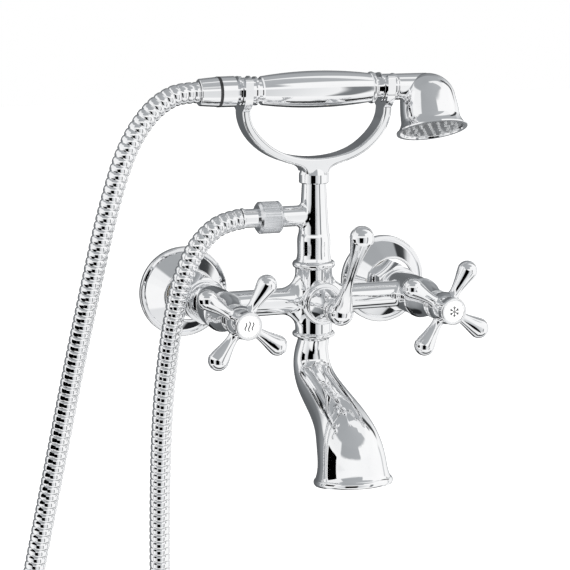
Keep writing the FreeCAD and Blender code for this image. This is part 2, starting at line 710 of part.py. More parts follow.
def diverter_lever():
    """Ball hub with a drop-shaped lever that leans out over the handles."""
    hub = turned([
        (0, 0),
        (7.4, 0),
        Arc((8.3, 1.1), (7.4, 2.2)),
        (6.6, 3.0),
        (0, 3.0),
    ], spot(0, LEVER_REAR, 0), FRONT)
    middle = spot(0, LEVER_MIDDLE, 0)
    ball = Part.makeSphere(LEVER_BALL_RADIUS, middle)
    direction = FreeCAD.Vector(0, -LEVER_LEAN, LEVER_RISE)
    length = direction.Length
    top = LEVER_TOP_RADIUS
    neck = LEVER_NECK_RADIUS
    steps = [
        (0, -1.0),
        (LEVER_BALL_RADIUS - 1.6, -1.0),
        Curve((LEVER_BALL_RADIUS - 1.8, 5.0), (neck + 1.6, 15.0), (neck, 26.0),
              (neck + 0.5, 40.0), (top - 2.2, length - 9.0), (top, length)),
        Arc((top * math.sqrt(0.5), length + top * math.sqrt(0.5)), (0, length + top)),
    ]
    lever = turned(steps, middle, direction)
    socket = SPINDLE_DRIVE + 2 * THREAD_FIT
    return fused([hub, ball, lever]).cut(fused([
        box(socket, 9.4, socket, spot(0, LEVER_REAR + 4.7, 0)),
        rod(SCREW_RADIUS + THREAD_FIT, 12.0, spot(0, LEVER_REAR + 6.0, -12.0), UP),
    ]))


def lever_screw():
    """Grub screw that locks the lever on its square, from below."""
    top = -SPINDLE_DRIVE / 2 - THREAD_FIT
    screw = rod(SCREW_RADIUS, 4.6, spot(0, LEVER_REAR + 6.0, top - 4.6), UP)
    return screw.cut(prism(6, 2.0, 1.6, spot(0, LEVER_REAR + 6.0, top - 4.6), UP))


# ================================================================ spout
SPOUT_TOP = -BARREL_HALF_HEIGHT


def spout_stations():
    """Distance from the wall, height, radius and lean of the spout's sections."""
    run = SPOUT_REACH - BODY_REACH
    start = SPOUT_TOP - SPOUT_FLANGE_HEIGHT
    drop = SPOUT_DROP + start
    neck = SPOUT_NECK_RADIUS
    mouth = SPOUT_MOUTH_RADIUS
    lean = SPOUT_MOUTH_LEAN
    rows = [
        (0.00, 0.00, neck - 0.4, -4.0),
        (-0.045, 0.10, neck + 0.4, -5.0),
        (-0.050, 0.21, neck + 1.5, 8.0),
        (0.04, 0.325, neck + 2.6, 34.0),
        (0.24, 0.42, neck + 3.5, 58.0),
        (0.485, 0.50, neck + 4.8, 62.0),
        (0.715, 0.59, neck + 7.3, 50.0),
        (0.885, 0.71, neck + 10.2, 30.0),
        (0.965, 0.83, mouth - 3.5, 14.0),
        (0.988, 0.92, mouth - 2.4, lean),
        (1.00, 0.965, mouth - 1.0, lean),
    ]
    return [(BODY_REACH + u * run, start - v * drop, radius, angle) for u, v, radius, angle in rows]


def leaning(degrees):
    """Direction that points down and, by this angle, out from the wall."""
    angle = math.radians(degrees)
    return FreeCAD.Vector(0, -math.sin(angle), -math.cos(angle))


def spout_skin(inset):
    """Solid through the stations, in two mirrored halves; inset is how far it lies inside."""
    faces = []
    rims = {0: [], -1: []}
    for side in (LEFT, RIGHT):
        arcs = []
        for out, z, radius, lean in spout_stations():
            centre = spot(0, out, z)
            front = leaning(lean).cross(RIGHT) * (radius - inset)
            arcs.append(Part.Arc(centre + front, centre + side * (radius - inset), centre - front).toShape())
        faces += Part.makeLoft([Part.Wire(arc) for arc in arcs], False, False).Faces
        for end, rim in rims.items():
            rim.append(arcs[end])
    faces += [Part.Face(Part.Wire(rim)) for rim in rims.values()]
    shell = Part.Shell(faces)
    shell.sewShape()
    return upright(Part.Solid(shell))


def spout():
    """S-curved casting with a bell mouth, a flange and a spigot."""
    height = SPOUT_FLANGE_HEIGHT
    rim = SPOUT_FLANGE_RADIUS
    out, z, radius, lean = spout_stations()[-1]
    end = spot(0, out, z)
    down = leaning(lean)
    lip = SPOUT_LIP
    outer = spout_skin(0)
    inner = spout_skin(SPOUT_WALL)
    flange = turned([
        (0, 0), (rim - 1.4, 0), Arc((rim, -height * 0.36), (rim - 1.4, -height * 0.72)),
        Curve((SPOUT_NECK_RADIUS + 0.8, -height * 0.85), (SPOUT_NECK_RADIUS - 0.4, -height - 0.6)),
        (0, -height - 0.6),
    ], spot(0, BODY_REACH, SPOUT_TOP), UP)
    spigot = rod(SPIGOT_RADIUS, SPIGOT_LENGTH, spot(0, BODY_REACH, SPOUT_TOP), UP)
    lip_ring = turned([
        (radius - 2.0, -0.4), (radius, -0.4),
        Arc((SPOUT_MOUTH_RADIUS + 0.1, lip * 0.5), (SPOUT_MOUTH_RADIUS - 0.8, lip)),
        (radius - 2.0, lip),
    ], end, down)
    groove_low = SPOUT_TOP + SPIGOT_LENGTH / 2 - SEAL_GROOVE / 2
    groove = ring(SPIGOT_RADIUS + 1, SPIGOT_RADIUS - 1.4, SEAL_GROOVE, spot(0, BODY_REACH, groove_low), UP)
    bore = rod(SPIGOT_BORE, SPIGOT_LENGTH + height + 4.0, spot(0, BODY_REACH, SPOUT_TOP - height - 4.0), UP)
    mouth = rod(radius - SPOUT_WALL, lip + 1.5, end - down * 0.5, down)
    casting = fused([outer, flange, spigot, lip_ring])
    casting = casting.cut(inner).cut(bore).cut(groove).cut(mouth)
    return casting.fuse(straightener_ledge(outer))


def straightener_place():
    """Middle of the ledge's lower face, inside the throat of the spout."""
    out, z, radius, lean = spout_stations()[STRAIGHTENER_STATION]
    return spot(0, out, z)


def straightener_ledge(skin):
    """Threaded ledge across the throat; it is trimmed to lie within the casting."""
    low = straightener_place()
    slab = rod(SPOUT_MOUTH_RADIUS, STRAIGHTENER_LEDGE, low, UP)
    core = spout_skin(SPOUT_WALL / 2)
    hole = rod(STRAIGHTENER_RADIUS + THREAD_FIT, STRAIGHTENER_LEDGE, low, UP)
    return slab.common(core).cut(hole)


def straightener_housing():
    """Threaded ring with a flange, screwed up into the ledge from the mouth."""
    inner = STRAIGHTENER_RADIUS - 2.0
    flange = 2.2
    steps = [
        (inner, -flange),
        (STRAIGHTENER_RADIUS + 1.0, -flange),
        (STRAIGHTENER_RADIUS + 2.0, 1.0 - flange),
        (STRAIGHTENER_RADIUS + 2.0, 0),
        (STRAIGHTENER_RADIUS, 0),
        (STRAIGHTENER_RADIUS, STRAIGHTENER_LEDGE + 1.0),
        (inner, STRAIGHTENER_LEDGE + 1.0),
    ]
    return turned(steps, straightener_place(), UP)


def straightener_screen():
    """Perforated disc that breaks the swirl of the water."""
    place = straightener_place()
    z = place.z
    radius = STRAIGHTENER_RADIUS - 2.0 - THREAD_FIT
    out = -place.y
    disc = rod(radius, 1.6, spot(0, out, z), UP)
    holes = []
    for circle, count in ((0.0, 1), (4.2, 6), (8.2, 12)):
        for i in range(count):
            angle = 2 * math.pi * i / count
            holes.append(rod(1.1, 1.6, spot(circle * math.cos(angle), out + circle * math.sin(angle), z), UP))
    return disc.cut(Part.makeCompound(holes))


# ================================================================ riser and cradle
def riser_column():
    """Tapered column on a bead, with a side outlet for the hose."""
    base = BARREL_HALF_HEIGHT
    bead = BEAD_HEIGHT
    foot = RISER_FOOT_RADIUS
    top = RISER_TOP_RADIUS
    steps = [
        (0, base),
        (BEAD_RADIUS - 2.4, base),
        Arc((BEAD_RADIUS, base + bead / 2), (BEAD_RADIUS - 2.4, base + bead)),
        Curve((foot + 0.3, base + bead + 1.6), (foot - 0.2, base + bead + 6.0),
              (foot - 1.0, OUTLET_HEIGHT - 12.0)),
        (top + 0.7, OUTLET_HEIGHT + 0.4 * (RISER_HEIGHT - OUTLET_HEIGHT)),
        (top, RISER_HEIGHT),
        (0, RISER_HEIGHT),
    ]
    axis = spot(0, BODY_REACH, 0)
    column = turned(steps, axis, UP)
    branch = rod(OUTLET_RADIUS, OUTLET_REACH - 10.0, OUTLET_AXIS, LEFT)
    tee = column.fuse(branch)

    def where_branch_meets_column(point):
        on_branch = abs(off_axis(point, OUTLET_AXIS, LEFT) - OUTLET_RADIUS) < 0.01
        return on_branch and point.x > -OUTLET_REACH + 12.0

    tee = rounded(tee, OUTLET_FLARE, where_branch_meets_column)
    thread = rod(OUTLET_THREAD_RADIUS, 10.0, OUTLET_AXIS + LEFT * (OUTLET_REACH - 10.0), LEFT)
    spigot = rod(SPIGOT_RADIUS, SPIGOT_LENGTH, spot(0, BODY_REACH, base - SPIGOT_LENGTH), UP)
    peg = rod(top - 2.6, 8.0, spot(0, BODY_REACH, RISER_HEIGHT), UP)
    groove_low = base - SPIGOT_LENGTH / 2 - SEAL_GROOVE / 2
    groove = ring(SPIGOT_RADIUS + 1, SPIGOT_RADIUS - 1.4, SEAL_GROOVE, spot(0, BODY_REACH, groove_low), UP)
    bore = rod(WATERWAY_RADIUS, OUTLET_HEIGHT + 4.0 - base + SPIGOT_LENGTH, spot(0, BODY_REACH, base - SPIGOT_LENGTH), UP)
    side_bore = rod(WATERWAY_RADIUS - 1.0, OUTLET_REACH, OUTLET_AXIS, LEFT)
    return fused([tee, thread, spigot, peg]).cut(groove).cut(bore.fuse(side_bore))


# Middle line of the U from a fork down to the collar: shares of the fork offset and of the rise
# from riser to fork, then the way to the outer edge, in half thicknesses.
CRADLE_BENDS = (
    (0.944, 0.770, 1.00, -0.32), (0.800, 0.580, 1.04, -0.50),
    (0.598, 0.430, 0.23, -1.04), (0.327, 0.328, 0.54, -0.93),
)
CRADLE_BOWL = 0.35           # lowest point of the inner edge, as a share of the rise


def cradle_edge(way):
    """Bends of one edge of the U on the right: way is 1 for the outer edge, -1 for the inner."""
    half = CRADLE_THICKNESS / 2 * way
    rise = FORK_LOW - RISER_HEIGHT
    edge = [(FORK_OFFSET + half, FORK_LOW)]
    for across, up, push_x, push_z in CRADLE_BENDS:
        edge.append((FORK_OFFSET * across + half * push_x, RISER_HEIGHT + rise * up + half * push_z))
    return edge


def cradle_band():
    """Face of the U, seen from the front: outer edge, inner edge and collar."""
    collar = CRADLE_COLLAR_RADIUS - 1.4
    foot = RISER_HEIGHT + 8.0
    right = cradle_edge(1) + [(collar + 1.0, foot + 2.0)]
    inner = cradle_edge(-1) + [(0.0, RISER_HEIGHT + (FORK_LOW - RISER_HEIGHT) * CRADLE_BOWL)]
    steps = [(collar, foot), Curve((collar + 0.1, foot + 0.6), *reversed(right))]
    steps.append(inner[0])
    mirrored = [(-x, z) for x, z in reversed(inner)][1:]
    steps.append(Curve(*(inner[1:] + mirrored)))
    steps.append((-right[0][0], right[0][1]))
    left = [(-x, z) for x, z in right[1:]]
    steps.append(Curve(*(left + [(-collar - 0.1, foot + 0.6), (-collar, foot)])))
    wire = outline_wire(steps, lambda pair: spot(pair[0], BODY_REACH + CRADLE_DEPTH / 2, pair[1]))
    return Part.Face(wire).extrude(FreeCAD.Vector(0, CRADLE_DEPTH, 0))


def fork(side):
    """Yoke with a round seat and two upright prongs, open at the top."""
    x = side * FORK_OFFSET - FORK_THICKNESS / 2
    seat = SEAT_NECK_RADIUS + LOOSE_FIT
    outer = seat + PRONG_THICKNESS
    top = PRONG_HEIGHT - PRONG_THICKNESS / 2
    plate = fused([
        rod(outer, FORK_THICKNESS, spot(x, BODY_REACH, HANDSET_HEIGHT), RIGHT),
        box(FORK_THICKNESS, 2 * outer, top, spot(side * FORK_OFFSET, BODY_REACH, HANDSET_HEIGHT + top / 2)),
    ])
    above = box(2 * FORK_THICKNESS, 2 * seat, 3 * outer, spot(side * FORK_OFFSET, BODY_REACH, HANDSET_HEIGHT + 1.5 * outer))
    cap = box(2 * FORK_THICKNESS, 3 * outer, outer, spot(side * FORK_OFFSET, BODY_REACH, HANDSET_HEIGHT + top + outer / 2))
    plate = plate.cut(cap)
    tips = [
        rod(PRONG_THICKNESS / 2, FORK_THICKNESS, spot(x, BODY_REACH + s * (seat + PRONG_THICKNESS / 2), HANDSET_HEIGHT + top), RIGHT)
        for s in (-1, 1)
    ]
    slot = rod(seat, 2 * FORK_THICKNESS, spot(x - FORK_THICKNESS / 2, BODY_REACH, HANDSET_HEIGHT), RIGHT)
    return fused([plate] + tips).cut(slot.fuse(above))


def cradle():
    """U-shaped holder with a fork at each end, on a collar over the riser."""
    base = RISER_HEIGHT
    collar = turned([
        (0, 0), (CRADLE_COLLAR_RADIUS - 0.6, 0), (CRADLE_COLLAR_RADIUS, 0.6),
        (CRADLE_COLLAR_RADIUS, 6.0),
        Curve((CRADLE_COLLAR_RADIUS - 1.0, 8.4), (CRADLE_COLLAR_RADIUS - 2.0, 11.0)),
        (CRADLE_COLLAR_RADIUS - 2.0, 14.0), (0, 14.0),
    ], spot(0, BODY_REACH, base), UP)
    band = cradle_band()

    faces = (-BODY_REACH - CRADLE_DEPTH / 2, -BODY_REACH + CRADLE_DEPTH / 2)
    long_edges = [edge for edge in band.Edges
                  if edge.Length > 40 and any(abs(edge.CenterOfMass.y - y) < 0.01 for y in faces)]
    band = band.makeFillet(1.8, long_edges)
    peg = rod(RISER_TOP_RADIUS - 2.6 + THREAD_FIT, 8.0 + FACE_GAP, spot(0, BODY_REACH, base), UP)
    screw_hole = rod(SCREW_RADIUS + THREAD_FIT, 2 * CRADLE_COLLAR_RADIUS, spot(0, BODY_REACH, base + 4.0), -FRONT)
    whole = fused([band, collar, fork(-1), fork(1)])
    return whole.cut(peg.fuse(screw_hole))


def cradle_screw():
    """Grub screw in the back of the collar; it grips the riser peg."""
    start = RISER_TOP_RADIUS - 2.6 + THREAD_FIT
    length = CRADLE_COLLAR_RADIUS - start - 0.4
    at = spot(0, BODY_REACH - start, RISER_HEIGHT + 4.0)
    screw = rod(SCREW_RADIUS, length, at, -FRONT)
    return screw.cut(prism(6, 2.0, 1.6, at + (-FRONT) * (length - 1.6), -FRONT))


# ================================================================ hose and its ends
def knurled_nut():
    """Ribbed nut that holds the hose tail on the side outlet."""
    front = OUTLET_REACH + HOSE_WASHER + TAIL_FLANGE + HOSE_NUT_LIP
    base = OUTLET_AXIS + LEFT * front
    steps = [
        (OUTLET_RADIUS - 0.6, 0), (HOSE_NUT_RADIUS - 1.6, 0), (HOSE_NUT_RADIUS, 1.4),
        (HOSE_NUT_RADIUS, HOSE_NUT_LENGTH - 1.2), (HOSE_NUT_RADIUS - 1.2, HOSE_NUT_LENGTH),
        (OUTLET_THREAD_RADIUS + THREAD_FIT, HOSE_NUT_LENGTH),
        (OUTLET_THREAD_RADIUS + THREAD_FIT, HOSE_NUT_LIP), (OUTLET_RADIUS - 0.6, HOSE_NUT_LIP),
    ]
    nut = turned(steps, base, RIGHT)
    ribs = 40
    groove_length = HOSE_NUT_LENGTH - 5.0
    grooves = []
    for i in range(ribs):
        angle = 2 * math.pi * i / ribs
        offset = FreeCAD.Vector(2.5, math.cos(angle) * HOSE_NUT_RADIUS, math.sin(angle) * HOSE_NUT_RADIUS)
        grooves.append(rod(0.42, groove_length, base + offset, RIGHT))
    return nut.cut(Part.makeCompound(grooves))


def hose_tail(flange_at, mouth, direction, flange_radius):
    """Flanged nipple with the ferrule that is crimped over the hose end."""
    length = (mouth - flange_at).Length
    shank = OUTLET_RADIUS - 0.7
    steps = [
        (3.6, 0), (flange_radius, 0), (flange_radius, TAIL_FLANGE), (shank, TAIL_FLANGE),
        (shank, length - 1.8), (HOSE_RADIUS + 0.1, length - 1.4),
        (HOSE_RADIUS + 0.1, length - 0.4), (HOSE_RADIUS - 0.3, length), (3.6, length),
    ]
    return turned(steps, flange_at, direction)


def hose_path():
    """Straight runs joined by the largest tangent arcs that the runs leave room for."""
    points = [spot(x, BODY_REACH, z) for x, z in HOSE_ROUTE]
    edges = []
    radii = []
    here = points[0]
    for before, corner, after in zip(points, points[1:], points[2:]):
        come = corner - before
        leave = after - corner
        half_turn = come.getAngle(leave) / 2
        reach = 0.45 * min(come.Length, leave.Length)
        radii.append(reach / math.tan(half_turn))
        come.normalize()
        leave.normalize()
        start = corner - come * reach
        end = corner + leave * reach
        bisector = leave - come
        bisector.normalize()
        centre = corner + bisector * (radii[-1] / math.cos(half_turn))
        middle = centre - bisector * radii[-1]
        edges.append(Part.LineSegment(here, start).toShape())
        edges.append(Part.Arc(start, middle, end).toShape())
        here = end
    edges.append(Part.LineSegment(here, points[-1]).toShape())
    return Part.Wire(edges), radii


def shower_hose():
    path, radii = hose_path()
    section = Part.Wire(Part.makeCircle(HOSE_RADIUS, path.Vertexes[0].Point, LEFT))
    hose = path.makePipeShell([section], True, False)
    expected = math.pi * HOSE_RADIUS ** 2 * path.Length
    print("hose length", round(path.Length, 1), "volume ratio", round(abs(hose.Volume) / expected, 4))
    print("hose bend radii", [round(radius) for radius in radii])
    return upright(hose)


# ================================================================ hand shower
# Distances along the handset are measured from the middle of the grip, + towards the head.
FORK_HALF = FORK_THICKNESS / 2 + LOOSE_FIT
FORK_LEFT = -FORK_OFFSET
FORK_RIGHT = FORK_OFFSET
SLEEVE_END = FORK_LEFT - SLEEVE_REACH
TAIL_RING = 2.0
SPIGOT_END = SLEEVE_END - SPIGOT_REACH
HANDSET_SPIGOT_RADIUS = 7.6
GRIP_RIGHT = GRIP_HALF_LENGTH + 1.0
COLLAR_LENGTH = 3.4
HEAD_NECK_START = FORK_RIGHT + FORK_HALF + 1.6


def along_handset(steps):
    """Solid of revolution about the handset axis, heights along +X."""
    return turned(steps, HANDSET_AXIS, RIGHT)


def tail_sleeve():
    """Sleeve behind the grip with the seat for the left fork and the hose thread."""
    seat = SEAT_NECK_RADIUS
    flange = COLLAR_RADIUS - 0.4
    bore = HANDSET_TUBE_RADIUS + THREAD_FIT
    start = FORK_LEFT - FORK_HALF
    end = FORK_LEFT + FORK_HALF
    return along_handset([
        (bore, SPIGOT_END), (HANDSET_SPIGOT_RADIUS, SPIGOT_END), (HANDSET_SPIGOT_RADIUS, SLEEVE_END),
        (SWIVEL_NUT_RADIUS + 0.2, SLEEVE_END), (SWIVEL_NUT_RADIUS + 0.3, start - 3.4),
        (seat - 1.6, start - 2.4), (seat - 1.6, start - 1.8), (flange, start - 1.4), (flange, start - 0.2),
        (seat, start), (seat, end), (flange, end + 0.2), (flange, end + 1.4),
        (seat - 0.6, end + 1.6), (seat - 0.6, -GRIP_HALF_LENGTH - 4.4), (bore, -GRIP_HALF_LENGTH - 4.4),
    ])


def tail_ring():
    """Black ring between the sleeve and the swivel nut."""
    inner = HANDSET_SPIGOT_RADIUS + THREAD_FIT
    outer = SWIVEL_NUT_RADIUS + 0.25
    end = SLEEVE_END - TAIL_RING
    return along_handset([(inner, SLEEVE_END), (outer, SLEEVE_END), (outer, end), (inner, end)])


def swivel_nut():
    """Smooth nut that holds the hose on the hand shower."""
    front = SLEEVE_END - TAIL_RING
    rear = SPIGOT_END - HOSE_WASHER - TAIL_FLANGE - HOSE_NUT_LIP + 1.4
    inside = rear + HOSE_NUT_LIP - 1.4
    bore = HANDSET_SPIGOT_RADIUS + THREAD_FIT
    return along_handset([
        (bore, front), (SWIVEL_NUT_RADIUS, front), (SWIVEL_NUT_RADIUS - 0.9, rear + 1.2),
        Arc((SWIVEL_NUT_RADIUS - 1.1, rear + 0.4), (SWIVEL_NUT_RADIUS - 1.8, rear)),
        (OUTLET_RADIUS - 0.6, rear), (OUTLET_RADIUS - 0.6, inside), (bore, inside),
    ])


def handset_washer():
    inner = 4.0
    return along_handset([
        (inner, SPIGOT_END), (HANDSET_SPIGOT_RADIUS - 0.2, SPIGOT_END),
        (HANDSET_SPIGOT_RADIUS - 0.2, SPIGOT_END - HOSE_WASHER), (inner, SPIGOT_END - HOSE_WASHER),
    ])


def handset_ferrule():
    """Flanged nipple and ferrule at the hand shower end of the hose."""
    flange = SPIGOT_END - HOSE_WASHER
    shank = OUTLET_RADIUS - 0.8
    mouth = SPIGOT_END - FERRULE_REACH
    step = flange - TAIL_FLANGE - HOSE_NUT_LIP + 1.4 - 0.3
    return along_handset([
        (3.6, flange), (HANDSET_SPIGOT_RADIUS - 0.1, flange), (HANDSET_SPIGOT_RADIUS - 0.1, flange - TAIL_FLANGE),
        (shank, flange - TAIL_FLANGE), (shank, step), (HOSE_RADIUS + 0.2, step - 0.2),
        (HOSE_RADIUS + 0.2, mouth + 0.3), (HOSE_RADIUS - 0.2, mouth), (3.6, mouth),
    ])


def handset_tube():
    """Inner waterway from the hose thread to the head."""
    return along_handset([
        (HANDSET_BORE, SPIGOT_END), (HANDSET_TUBE_RADIUS, SPIGOT_END),
        (HANDSET_TUBE_RADIUS, HEAD_NECK_START + 6.0), (HANDSET_BORE, HEAD_NECK_START + 6.0),
    ])


def handset_grip():
    """Barrel-shaped chrome grip over the waterway."""
    left = -GRIP_HALF_LENGTH
    right = GRIP_RIGHT
    bore = HANDSET_TUBE_RADIUS + THREAD_FIT
    return along_handset([
        (bore, left), (GRIP_END_RADIUS - 0.8, left), (GRIP_END_RADIUS, left + 0.8),
        Arc((GRIP_RADIUS, (left + right) / 2), (GRIP_END_RADIUS + 0.2, right)), (bore, right),
    ])


def left_collar():
    """Small collar between the tail sleeve and the grip, with a dark groove."""
    start = -GRIP_HALF_LENGTH - 4.4
    end = -GRIP_HALF_LENGTH
    bore = HANDSET_TUBE_RADIUS + THREAD_FIT
    high = GRIP_END_RADIUS
    low = high - 1.8
    return along_handset([
        (bore, start), (high, start), (high, start + 1.4), (low, start + 1.8), (low, end), (bore, end),
    ])


def right_collar():
    """Ring collar and fork seat between the grip and the head."""
    bore = HANDSET_TUBE_RADIUS + THREAD_FIT
    seat = SEAT_NECK_RADIUS
    flange = COLLAR_RADIUS - 0.3
    ring_end = GRIP_RIGHT + COLLAR_LENGTH
    start = FORK_RIGHT - FORK_HALF
    end = FORK_RIGHT + FORK_HALF
    return along_handset([
        (bore, GRIP_RIGHT), (COLLAR_RADIUS - 0.9, GRIP_RIGHT),
        Arc((COLLAR_RADIUS + 0.3, (GRIP_RIGHT + ring_end) / 2), (COLLAR_RADIUS - 1.2, ring_end)),
        (seat - 1.8, ring_end + 0.3), (seat - 1.8, start - 1.2), (flange, start - 1.0), (flange, start - 0.2),
        (seat, start), (seat, end), (seat, HEAD_NECK_START), (bore, HEAD_NECK_START),
    ])


def spray_axis():
    """Direction in which the water leaves the head."""
    angle = math.radians(HEAD_TILT)
    return FreeCAD.Vector(0, -math.sin(angle), -math.cos(angle))


HEAD_MIDDLE = HANDSET_AXIS + RIGHT * HEAD_OFFSET
PLATE_RADIUS = HEAD_RIM_RADIUS - PLATE_MARGIN
PLATE_REAR = HEAD_DROP - PLATE_RECESS - PLATE_THICKNESS


def bell_outline(inset):
    """Half outline of the head: round crown, straight flank and flared rim."""
    body = HEAD_BODY_RADIUS - inset
    crown = HEAD_CROWN + inset
    sphere = HEAD_CROWN_RADIUS - inset
    rim = HEAD_RIM_RADIUS - inset
    flare = HEAD_DROP - 7.6

    def on_sphere(degrees):
        angle = math.radians(degrees)
        return (sphere * math.sin(angle), crown + sphere - sphere * math.cos(angle))

    return [
        (0, crown),
        Arc(on_sphere(33), on_sphere(66)),
        Curve(on_sphere(75), (body - 1.0, crown + sphere), (body - 0.3, crown + sphere + 7.0), (body, flare)),
        Curve((body + 1.0, flare + 2.8), (rim - 0.6, HEAD_DROP - 1.2)),
    ]


def head_shell():
    """Bell of the hand shower with its neck; the spray plate closes it."""
    outside = bell_outline(0) + [
        (HEAD_RIM_RADIUS, HEAD_DROP - 1.0), (HEAD_RIM_RADIUS, HEAD_DROP), (0, HEAD_DROP),
    ]
    inside = bell_outline(HEAD_WALL) + [(HEAD_RIM_RADIUS - HEAD_WALL, HEAD_DROP + 1.0), (0, HEAD_DROP + 1.0)]
    bell = turned(outside, HEAD_MIDDLE, spray_axis())
    hollow = turned(inside, HEAD_MIDDLE, spray_axis())
    start = HEAD_NECK_START
    neck = along_handset([
        (0, start), (SEAT_NECK_RADIUS - 0.8, start),
        Arc((SEAT_NECK_RADIUS + 0.4, start + 1.8), (SEAT_NECK_RADIUS - 0.6, start + 3.8)),
        (HEAD_NECK_RADIUS, start + 4.4), (HEAD_NECK_RADIUS, HEAD_OFFSET), (0, HEAD_OFFSET),
    ])
    waterway = rod(HANDSET_BORE + 1.2, HEAD_OFFSET - start, HANDSET_AXIS + RIGHT * start, RIGHT)
    socket = rod(HANDSET_TUBE_RADIUS + THREAD_FIT, 6.0, HANDSET_AXIS + RIGHT * start, RIGHT)
    seat = rod(PLATE_RADIUS + THREAD_FIT, HEAD_DROP, HEAD_MIDDLE + spray_axis() * PLATE_REAR, spray_axis())
    return fused([bell, neck]).cut(hollow).cut(fused([waterway, socket, seat]))


def nozzle_places():
    """Centres of the spray holes, across the spray plate."""
    across = RIGHT
    forward = spray_axis().cross(RIGHT)
    places = []
    for radius, count in NOZZLE_RINGS:
        for i in range(count):
            angle = 2 * math.pi * i / count
            places.append(across * (radius * math.cos(angle)) + forward * (radius * math.sin(angle)))
    return places


def spray_plate():
    """Slightly domed plate, pierced for the nozzles."""
    low = HEAD_DROP - PLATE_RECESS
    plate = turned([
        (0, low - PLATE_THICKNESS), (PLATE_RADIUS, low - PLATE_THICKNESS), (PLATE_RADIUS, low - 0.5),
        (PLATE_RADIUS - 0.5, low), dome(PLATE_RADIUS - 0.5, low, 0.8),
    ], HEAD_MIDDLE, spray_axis())
    base = HEAD_MIDDLE + spray_axis() * (low - PLATE_THICKNESS - 1.0)
    holes = [rod(NOZZLE_RADIUS + THREAD_FIT, 6.0, base + place, spray_axis()) for place in nozzle_places()]
    return plate.cut(Part.makeCompound(holes))


def spray_nozzles():
    """Soft nozzle tips, one in each hole of the plate."""
    low = HEAD_DROP - PLATE_RECESS
    base = HEAD_MIDDLE + spray_axis() * (low - PLATE_THICKNESS)
    length = PLATE_THICKNESS + 1.6
    tips = [ring(NOZZLE_RADIUS, 0.4, length, base + place, spray_axis()) for place in nozzle_places()]
    return tips


def plate_seal():
    """Flat ring behind the spray plate."""
    outer = HEAD_BODY_RADIUS - HEAD_WALL - LOOSE_FIT
    thickness = 1.2
    base = HEAD_MIDDLE + spray_axis() * (PLATE_REAR - thickness)
    return ring(outer, outer - 2.2, thickness, base, spray_axis())


# ================================================================ the assembly
def build_valves():
    for name, side in SIDES:
        turn = HOT_HANDLE_TURN if side < 0 else COLD_HANDLE_TURN
        node(name + "_s_union", s_union(side))
        node(name + "_escutcheon", escutcheon(side))
        node(name + "_union_nut", union_nut(side))
        node(name + "_headwork", headwork(side))
        node(name + "_fixed_disc", fixed_disc(side))
        node(name + "_turning_disc", turning_disc(side))
        node(name + "_spindle", spindle(side))
        node(name + "_bell_cover", bell_cover(side))
        node(name + "_cross_handle", cross_handle(side, turn))
        node(name + "_handle_screw", handle_screw(side))
        node(name + "_index_cap", index_cap(side))
        node(name + "_index_disc", index_disc(side))
    xs = [valve_x(side) for name, side in SIDES]
    node("tail_pieces", *[tail_piece(side) for name, side in SIDES])
    node("inlet_washers", *[
        ring(TAIL_COLLAR_RADIUS, UNION_BORE_RADIUS, WASHER_THICKNESS, spot(x, UNION_FACE, 0), FRONT) for x in xs
    ])
    node("seat_seals", *[
        ring(CAVITY_RADIUS + HEADWORK_WALL, SEAT_RADIUS, SEAL_THICKNESS, spot(x, SEAT_AT, 0), FRONT) for x in xs
    ])
    places = [spot(x, GROOVE_AT + SEAL_GROOVE / 2, 0) for x in xs]
    places.append(spot(0, BOSS_FACE + 4.0 + SEAL_GROOVE / 2, 0))
    inner = SPINDLE_RADIUS + RUNNING_FIT
    node("spindle_seals", *[seal(inner, GROOVE_RADIUS, place, FRONT) for place in places])


def build_body():
    node("mixer_body", mixer_body())
    node("diverter_rotor", diverter_rotor())
    node("diverter_bonnet", diverter_bonnet())
    node("diverter_lever", diverter_lever())
    node("lever_grub_screw", lever_screw())
    node("spout", spout())
    node("flow_straightener", straightener_housing())
    node("straightener_screen", straightener_screen())
    node("riser_column", riser_column())
    node("cradle", cradle())
    node("cradle_grub_screw", cradle_screw())
    heights = (SPOUT_TOP + SPIGOT_LENGTH / 2, BARREL_HALF_HEIGHT - SPIGOT_LENGTH / 2)
    node("spigot_seals", *[
        seal(SPIGOT_RADIUS - 1.4, SPIGOT_RADIUS + THREAD_FIT, spot(0, BODY_REACH, z), UP) for z in heights
    ])


def build_hose():
    washer_at = OUTLET_AXIS + LEFT * OUTLET_REACH
    flange_at = washer_at + LEFT * HOSE_WASHER
    mouth = OUTLET_AXIS + LEFT * FERRULE_END
    node("knurled_hose_nut", knurled_nut())
    node("outlet_washer", ring(OUTLET_THREAD_RADIUS - 0.2, 4.0, HOSE_WASHER, washer_at, LEFT))
    node("outlet_ferrule", hose_tail(flange_at, mouth, LEFT, OUTLET_THREAD_RADIUS - 0.1))
    node("shower_hose", shower_hose())


def build_handset():
    node("handset_tube", handset_tube())
    node("handset_grip", handset_grip())
    node("grip_left_collar", left_collar())
    node("grip_right_collar", right_collar())
    node("handset_tail_sleeve", tail_sleeve())
    node("tail_ring", tail_ring())
    node("swivel_nut", swivel_nut())
    node("handset_washer", handset_washer())
    node("handset_ferrule", handset_ferrule())
    node("head_shell", head_shell())
    node("spray_plate", spray_plate())
    node("spray_nozzles", *spray_nozzles())
    node("spray_plate_seal", plate_seal())


def main():
    build_valves()
    build_body()
    build_hose()
    build_handset()
    os.makedirs("parts", exist_ok=True)
    for name, shape in NODES.items():
        shape.exportStep("parts/" + name + ".step")
        solids = len(shape.Solids)
        print(name, "solids", solids, "volume", round(shape.Volume, 1), "valid", shape.isValid())


main()
